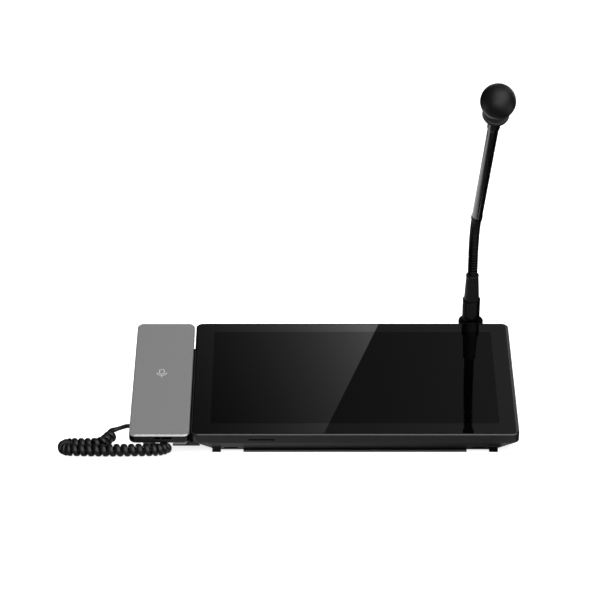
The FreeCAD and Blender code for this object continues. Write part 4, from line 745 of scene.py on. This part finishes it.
# the foam starts this far round the ball above the line where it would meet the collar
BALL_START = math.radians(7)
BORE_TOP = 5.0 * MM
COLLAR_FOOT = 1.9 * MM
COLLAR_EASE = 0.4 * MM
COLLAR_TOP = 8.9 * MM
COLLAR_SKIN = 0.6 * MM
RIDGES = 6
RIDGES_FOOT = 2.4 * MM
RIDGE_PITCH = 1.1 * MM
RIDGE_HIGH = 0.6 * MM
GROOVE_FOOT = 0.75 * MM
GROOVE_TOP = 0.95 * MM
GROOVE_DEPTH = 0.35 * MM
PORE_DEPTH = 0.16 * MM
# fine and wide pores, each with its size and its share
PORES = ((0.55 * MM, 0.6), (1.3 * MM, 0.4))
SLEEVE_SIDES = 96


def head_place():
    """A frame on the tube's own line: it starts at the light ring's lower face and rises along the tube."""
    lean = TUBE_WAY.to_track_quat("Z", "Y").to_matrix().to_4x4()
    return Matrix.Translation(RING_CENTRE - TUBE_WAY * RING_HALF_THICK) @ lean


def ball_profile():
    """The windscreen's outline, from inside its bore round the ridged collar to the top of the ball."""
    groove = BALL_COLLAR_RADIUS - GROOVE_DEPTH
    profile = [(BALL_BORE_RADIUS, BORE_TOP), (BALL_BORE_RADIUS, COLLAR_FOOT)]
    profile.append((BALL_COLLAR_RADIUS - COLLAR_EASE, COLLAR_FOOT))
    for ridge in range(RIDGES):
        height = RIDGES_FOOT + ridge * RIDGE_PITCH
        profile += [(BALL_COLLAR_RADIUS, height), (BALL_COLLAR_RADIUS, height + RIDGE_HIGH)]
        profile += [(groove, height + GROOVE_FOOT), (groove, height + GROOVE_TOP)]
    sweep = math.pi - math.asin(BALL_COLLAR_RADIUS / BALL_RADIUS) - BALL_START
    for i in range(BALL_STEPS + 1):
        angle = sweep - sweep * i / BALL_STEPS
        profile.append((BALL_RADIUS * math.sin(angle), BALL_CENTRE_HIGH + BALL_RADIUS * math.cos(angle)))
    return profile


def make_foam_ball():
    """The windscreen: an open foam ball with a short ridged collar just above the ring."""
    mesh = turned_mesh("foam_ball", ball_profile(), BALL_SIDES)
    collar_faces = [
        face.index for face in mesh.polygons
        if face.center.z < COLLAR_TOP and math.hypot(*face.center.xy) > BALL_COLLAR_RADIUS - COLLAR_SKIN
    ]
    centre = Vector((0, 0, BALL_CENTRE_HIGH))
    for vertex in mesh.vertices:
        where = vertex.co
        if where.z > COLLAR_TOP:
            out = (where - centre).normalized()
            pores = sum(noise.noise(where / size) * share for size, share in PORES)
            vertex.co = where + out * (pores * PORE_DEPTH)
    mesh.transform(head_place())
    ball = add_object("foam_ball", mesh)
    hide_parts("windscreen")
    finish_piece(ball, "foam", "windscreen")
    ball.data.materials.append(MATERIALS["collar"])
    for index in collar_faces:
        ball.data.polygons[index].material_index = 1


def sleeve_profile(bore, radius, foot, top):
    """A sleeve's outline with eased ends; a ring by each end keeps the long sides' shading straight."""
    outside = [
        (radius - END_EASE, foot), (radius, foot + END_EASE), (radius, foot + 2 * END_EASE),
        (radius, top - 2 * END_EASE), (radius, top - END_EASE), (radius - END_EASE, top),
    ]
    return [(bore, foot)] + outside + [(bore, top), (bore, foot)]


def make_sleeve(name, profile):
    """A turned piece on the tube's own line, its heights counted from the light ring's lower face."""
    mesh = turned_mesh(name, profile, SLEEVE_SIDES)
    mesh.transform(head_place())
    return finish_piece(add_object(name, mesh), "tube", HEAD_BODY)


def make_tube():
    """The tube as thick as the photograph shows it, and the turned boss that carries the ring on it."""
    tube = make_sleeve("painted_tube", sleeve_profile(TUBE_BORE, TUBE_RADIUS, TUBE_FOOT, TUBE_TOP))
    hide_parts("mic_tube")
    make_sleeve("ring_boss", sleeve_profile(BOSS_BORE, BOSS_RADIUS, -BOSS_LONG, 0.0))


# Studio

GLASS_MIDDLE = unit_point(0, 86.5, 0)
CARD_DISTANCE = 1.4
CARD_HALF_WIDE = 0.9
CARD_HALF_HIGH = 0.7
CARD_TOP = 1.25
CARD_DARK = 0.14
CARD_DARK_SLOPE = 0.45
CARD_DARK_LEAST = 0.05
CARD_DARK_MOST = 0.3
CARD_LEVEL = 0.8
CARD_FALL = 0.105
CARD_LEAN = 0.437
CARD_EDGE_X = -0.0024
CARD_EDGE_SLOPE = 0.499


def hang_sheet(name, corners, material, place=None, faces=ONE_FACE):
    """A sheet of the studio that shows only as a reflection."""
    sheet = add_object(name, mesh_from(name, corners, faces, smooth=False), place)
    sheet.data.materials.append(material)
    sheet.visible_camera = False
    sheet.visible_diffuse = False
    sheet.visible_shadow = False
    sheet.visible_transmission = False


def glowing_material(name, strength=0.0):
    """A material that only glows, with its tree and its strength socket."""
    made = bpy.data.materials.new(name)
    made.use_nodes = True
    tree = made.node_tree
    tree.nodes.clear()
    emission = tree.nodes.new("ShaderNodeEmission")
    emission.inputs["Strength"].default_value = strength
    output = tree.nodes.new("ShaderNodeOutputMaterial")
    tree.links.new(emission.outputs[0], output.inputs["Surface"])
    return made, tree, emission.inputs["Strength"]


def card_place():
    """Where the card hangs: square to the sight line that the middle of the glass mirrors."""
    sight = (GLASS_MIDDLE - CAMERA_PLACE).normalized()
    mirrored = sight - OUT_OF_GLASS * (2 * sight.dot(OUT_OF_GLASS))
    up = mirrored.cross(Vector((1, 0, 0))).normalized()
    across = up.cross(mirrored).normalized()
    turn = Matrix((across, up, mirrored)).transposed().to_4x4()
    return Matrix.Translation(GLASS_MIDDLE + mirrored * CARD_DISTANCE) @ turn


def make_card():
    """A studio card above and behind, seen in the glass: pale on the left of a slanting edge."""
    made, tree, socket = glowing_material("card glow")
    split = tree.nodes.new("ShaderNodeSeparateXYZ")
    tree.links.new(tree.nodes.new("ShaderNodeTexCoord").outputs["Object"], split.inputs[0])
    x, y = split.outputs[:2]
    along = math_node(tree, "MULTIPLY_ADD", y, CARD_LEAN, x)
    glow = math_node(tree, "EXPONENT", math_node(tree, "DIVIDE", along, CARD_FALL))
    glow = math_node(tree, "MINIMUM", math_node(tree, "MULTIPLY", glow, CARD_LEVEL), CARD_TOP)
    dark = math_node(tree, "MULTIPLY_ADD", x, CARD_DARK_SLOPE, CARD_DARK)
    dark = math_node(tree, "MAXIMUM", dark, CARD_DARK_LEAST)
    dark = math_node(tree, "MINIMUM", dark, CARD_DARK_MOST)
    edge = math_node(tree, "MULTIPLY_ADD", y, CARD_EDGE_SLOPE, CARD_EDGE_X)
    left = math_node(tree, "LESS_THAN", x, edge)
    strength = math_node(tree, "MULTIPLY", glow, left)
    right = math_node(tree, "SUBTRACT", 1.0, left)
    strength = math_node(tree, "ADD", strength, math_node(tree, "MULTIPLY", dark, right))
    tree.links.new(strength, socket)
    corners = [(across * CARD_HALF_WIDE, up * CARD_HALF_HIGH, 0) for across, up in SQUARE]
    hang_sheet("reflection_card", corners, made, card_place())


FLAG_HEIGHT = 0.4 * MM
# black cloths on the table: the near left and the far right corner of each
DARK_FLAGS = {
    "dark_flag_near_right": ((0.153, -0.35), (0.40, 0.10)),
    "dark_flag_right": ((0.153, 0.10), (1.8, 2.4)),
    "dark_flag_left": ((-1.8, 0.32), (-0.165, 2.4)),
    "dark_flag_front": ((-1.8, -1.35), (0.3, -0.25)),
    "dark_flag_coil": ((-0.6, -0.12), (-0.212, 0.1)),
}
DRAPE_CENTRE = Vector((0.1, -0.1, 0))
DRAPE_RADIUS = 1.9
DRAPE_STEPS = 30
# curved sheets round the table: start and stop in degrees from the front, height and glow
DRAPES = {
    "dark_drape_back": (76, 215, 1.3, 0.0),
    "dark_drape_left": (215, 330, 4.5, 0.0),
    "low_soft_box": (-28, 38, 0.85, 7.0),
}
TABLE_CARD = ((-0.32, -0.25), (0.32, -0.079))
TABLE_CARD_GLOWS = (0.8, 0.35)
BEVEL_CARD = ((-0.13, -0.0785), (0.13, -0.05))
BEVEL_CARD_GLOWS = (1.06, 0.16)
BOX_CENTRE = Vector((0.62, -1.12, 1.45))
BOX_TARGET = Vector((0.116, -0.13, 0.33))
BOX_HALF_WIDE = 1.25
BOX_HALF_HIGH = 0.95
BOX_GLOW = 7.0
FLOOR_CARD = ((-0.6, -3.2), (0.9, -1.35))
FLOOR_CARD_GLOW = 6.0
EDGE_CARD_TURN = math.radians(148)
EDGE_CARD_AWAY = 1.5
EDGE_CARD_HALF = 0.18
EDGE_CARD_HIGH = 1.5
EDGE_CARD_GLOW = 3.0


def make_panel(name, corners, strength, faces=ONE_FACE):
    hang_sheet(name, corners, glowing_material(name, strength)[0], faces=faces)


def floor_corners(low, high):
    """The corners of a sheet that lies on the table, from its near left and far right ones."""
    spots = ((low[0], low[1]), (high[0], low[1]), (high[0], high[1]), (low[0], high[1]))
    return [(x, y, FLAG_HEIGHT) for x, y in spots]


def make_fading_card(name, area, glows):
    """A card lying on the table whose glow fades from its left to its right side."""
    made, tree, socket = glowing_material(name)
    split = tree.nodes.new("ShaderNodeSeparateXYZ")
    tree.links.new(tree.nodes.new("ShaderNodeTexCoord").outputs["Object"], split.inputs[0])
    tree.links.new(map_range(tree, split.outputs[0], area[0][0], area[1][0], *glows), socket)
    hang_sheet(name, floor_corners(*area), made)


def make_drape(name, start, stop, height, glow):
    points = []
    for i in range(DRAPE_STEPS + 1):
        turn = math.radians(start + (stop - start) * i / DRAPE_STEPS)
        foot = DRAPE_CENTRE + Vector((math.sin(turn), -math.cos(turn), 0)) * DRAPE_RADIUS
        points += [foot, foot + Vector((0, 0, height))]
    faces = [(2 * i, 2 * i + 2, 2 * i + 3, 2 * i + 1) for i in range(DRAPE_STEPS)]
    make_panel(name, points, glow, faces)


def make_edge_card():
    """A narrow upright card behind at the right."""
    away = Vector((math.sin(EDGE_CARD_TURN), -math.cos(EDGE_CARD_TURN), 0))
    foot = DRAPE_CENTRE + away * EDGE_CARD_AWAY
    across = Vector((-away.y, away.x, 0)) * EDGE_CARD_HALF
    top = Vector((0, 0, EDGE_CARD_HIGH))
    corners = [foot - across, foot + across, foot + across + top, foot - across + top]
    make_panel("right_edge_card", corners, EDGE_CARD_GLOW)


def make_soft_box():
    """A big soft box in front at the right, leaning down to the object."""
    turn = (BOX_TARGET - BOX_CENTRE).to_track_quat("-Z", "Y").to_matrix()
    across = turn.col[0] * BOX_HALF_WIDE
    up = turn.col[1] * BOX_HALF_HIGH
    make_panel("front_soft_box", [BOX_CENTRE + across * x + up * y for x, y in SQUARE], BOX_GLOW)


def make_panels():
    """Black cloths and glowing cards on and round the table."""
    for name, area in DARK_FLAGS.items():
        make_panel(name, floor_corners(*area), 0.0)
    make_panel("front_floor_card", floor_corners(*FLOOR_CARD), FLOOR_CARD_GLOW)
    make_edge_card()
    for name, drape in DRAPES.items():
        make_drape(name, *drape)
    make_soft_box()
    make_fading_card("table_card", TABLE_CARD, TABLE_CARD_GLOWS)
    make_fading_card("bevel_card", BEVEL_CARD, BEVEL_CARD_GLOWS)


WORLD_LIGHT = 0.42
FLOOR_HALF = 12.0
FLOOR_COLOUR = 0.82
FLOOR_GLOW = 0.8
FLOOR_ROUGHNESS = 0.9
# lamps: place, target, width and height in metres, and power in watts
LAMPS = {
    "top_softbox": ((0.1, -0.3, 1.9), (0, 0, 0.1), 1.8, 1.4, 26),
    "left_strip": ((-1.5, -0.5, 0.9), (0.1, 0, 0.2), 0.5, 1.2, 12),
    "front_fill": ((0.3, -2.2, 1.3), (0, 0, 0.1), 1.2, 0.8, 14),
}


def pale_rays(tree):
    """One for rays from the camera and for mirrored and see-through ones, nought for the rest."""
    path = tree.nodes.new("ShaderNodeLightPath").outputs
    total = math_node(tree, "ADD", path["Is Camera Ray"], path["Is Glossy Ray"])
    return math_node(tree, "MINIMUM", math_node(tree, "ADD", total, path["Is Transmission Ray"]), 1.0)


def make_world():
    world = bpy.data.worlds.new("studio")
    world.use_nodes = True
    tree = world.node_tree
    background = tree.nodes["Background"]
    strength = map_range(tree, pale_rays(tree), 0.0, 1.0, WORLD_LIGHT, 1.0)
    tree.links.new(strength, background.inputs["Strength"])
    background.inputs["Color"].default_value = (1, 1, 1, 1)
    bpy.context.scene.world = world


def make_floor():
    corners = [(x * FLOOR_HALF, y * FLOOR_HALF, 0) for x, y in SQUARE]
    floor = add_object("floor", mesh_from("floor", corners, ONE_FACE, smooth=False))
    made, tree, shader = new_material("pale floor")
    shader.inputs["Base Color"].default_value = (FLOOR_COLOUR, FLOOR_COLOUR, FLOOR_COLOUR, 1)
    shader.inputs["Roughness"].default_value = FLOOR_ROUGHNESS
    shader.inputs["Specular IOR Level"].default_value = 0.0
    shader.inputs["Emission Color"].default_value = (1, 1, 1, 1)
    glow = math_node(tree, "MULTIPLY", pale_rays(tree), FLOOR_GLOW)
    tree.links.new(glow, shader.inputs["Emission Strength"])
    floor.data.materials.append(made)


def area_light(name, place, target, wide, high, power):
    data = bpy.data.lights.new(name, "AREA")
    data.shape = "RECTANGLE"
    data.size = wide
    data.size_y = high
    data.energy = power
    lamp = bpy.data.objects.new(name, data)
    lamp.location = place
    lamp.rotation_euler = (Vector(target) - Vector(place)).to_track_quat("-Z", "Y").to_euler()
    lamp.visible_camera = False
    lamp.visible_glossy = False
    bpy.context.scene.collection.objects.link(lamp)


def make_lights():
    for name, lamp in LAMPS.items():
        area_light(name, *lamp)


make_camera()
dress_nodes()
make_cord()
make_foam_ball()
make_tube()
make_card()
make_panels()
make_world()
make_floor()
make_lights()

bpy.context.scene.view_settings.view_transform = "Standard"
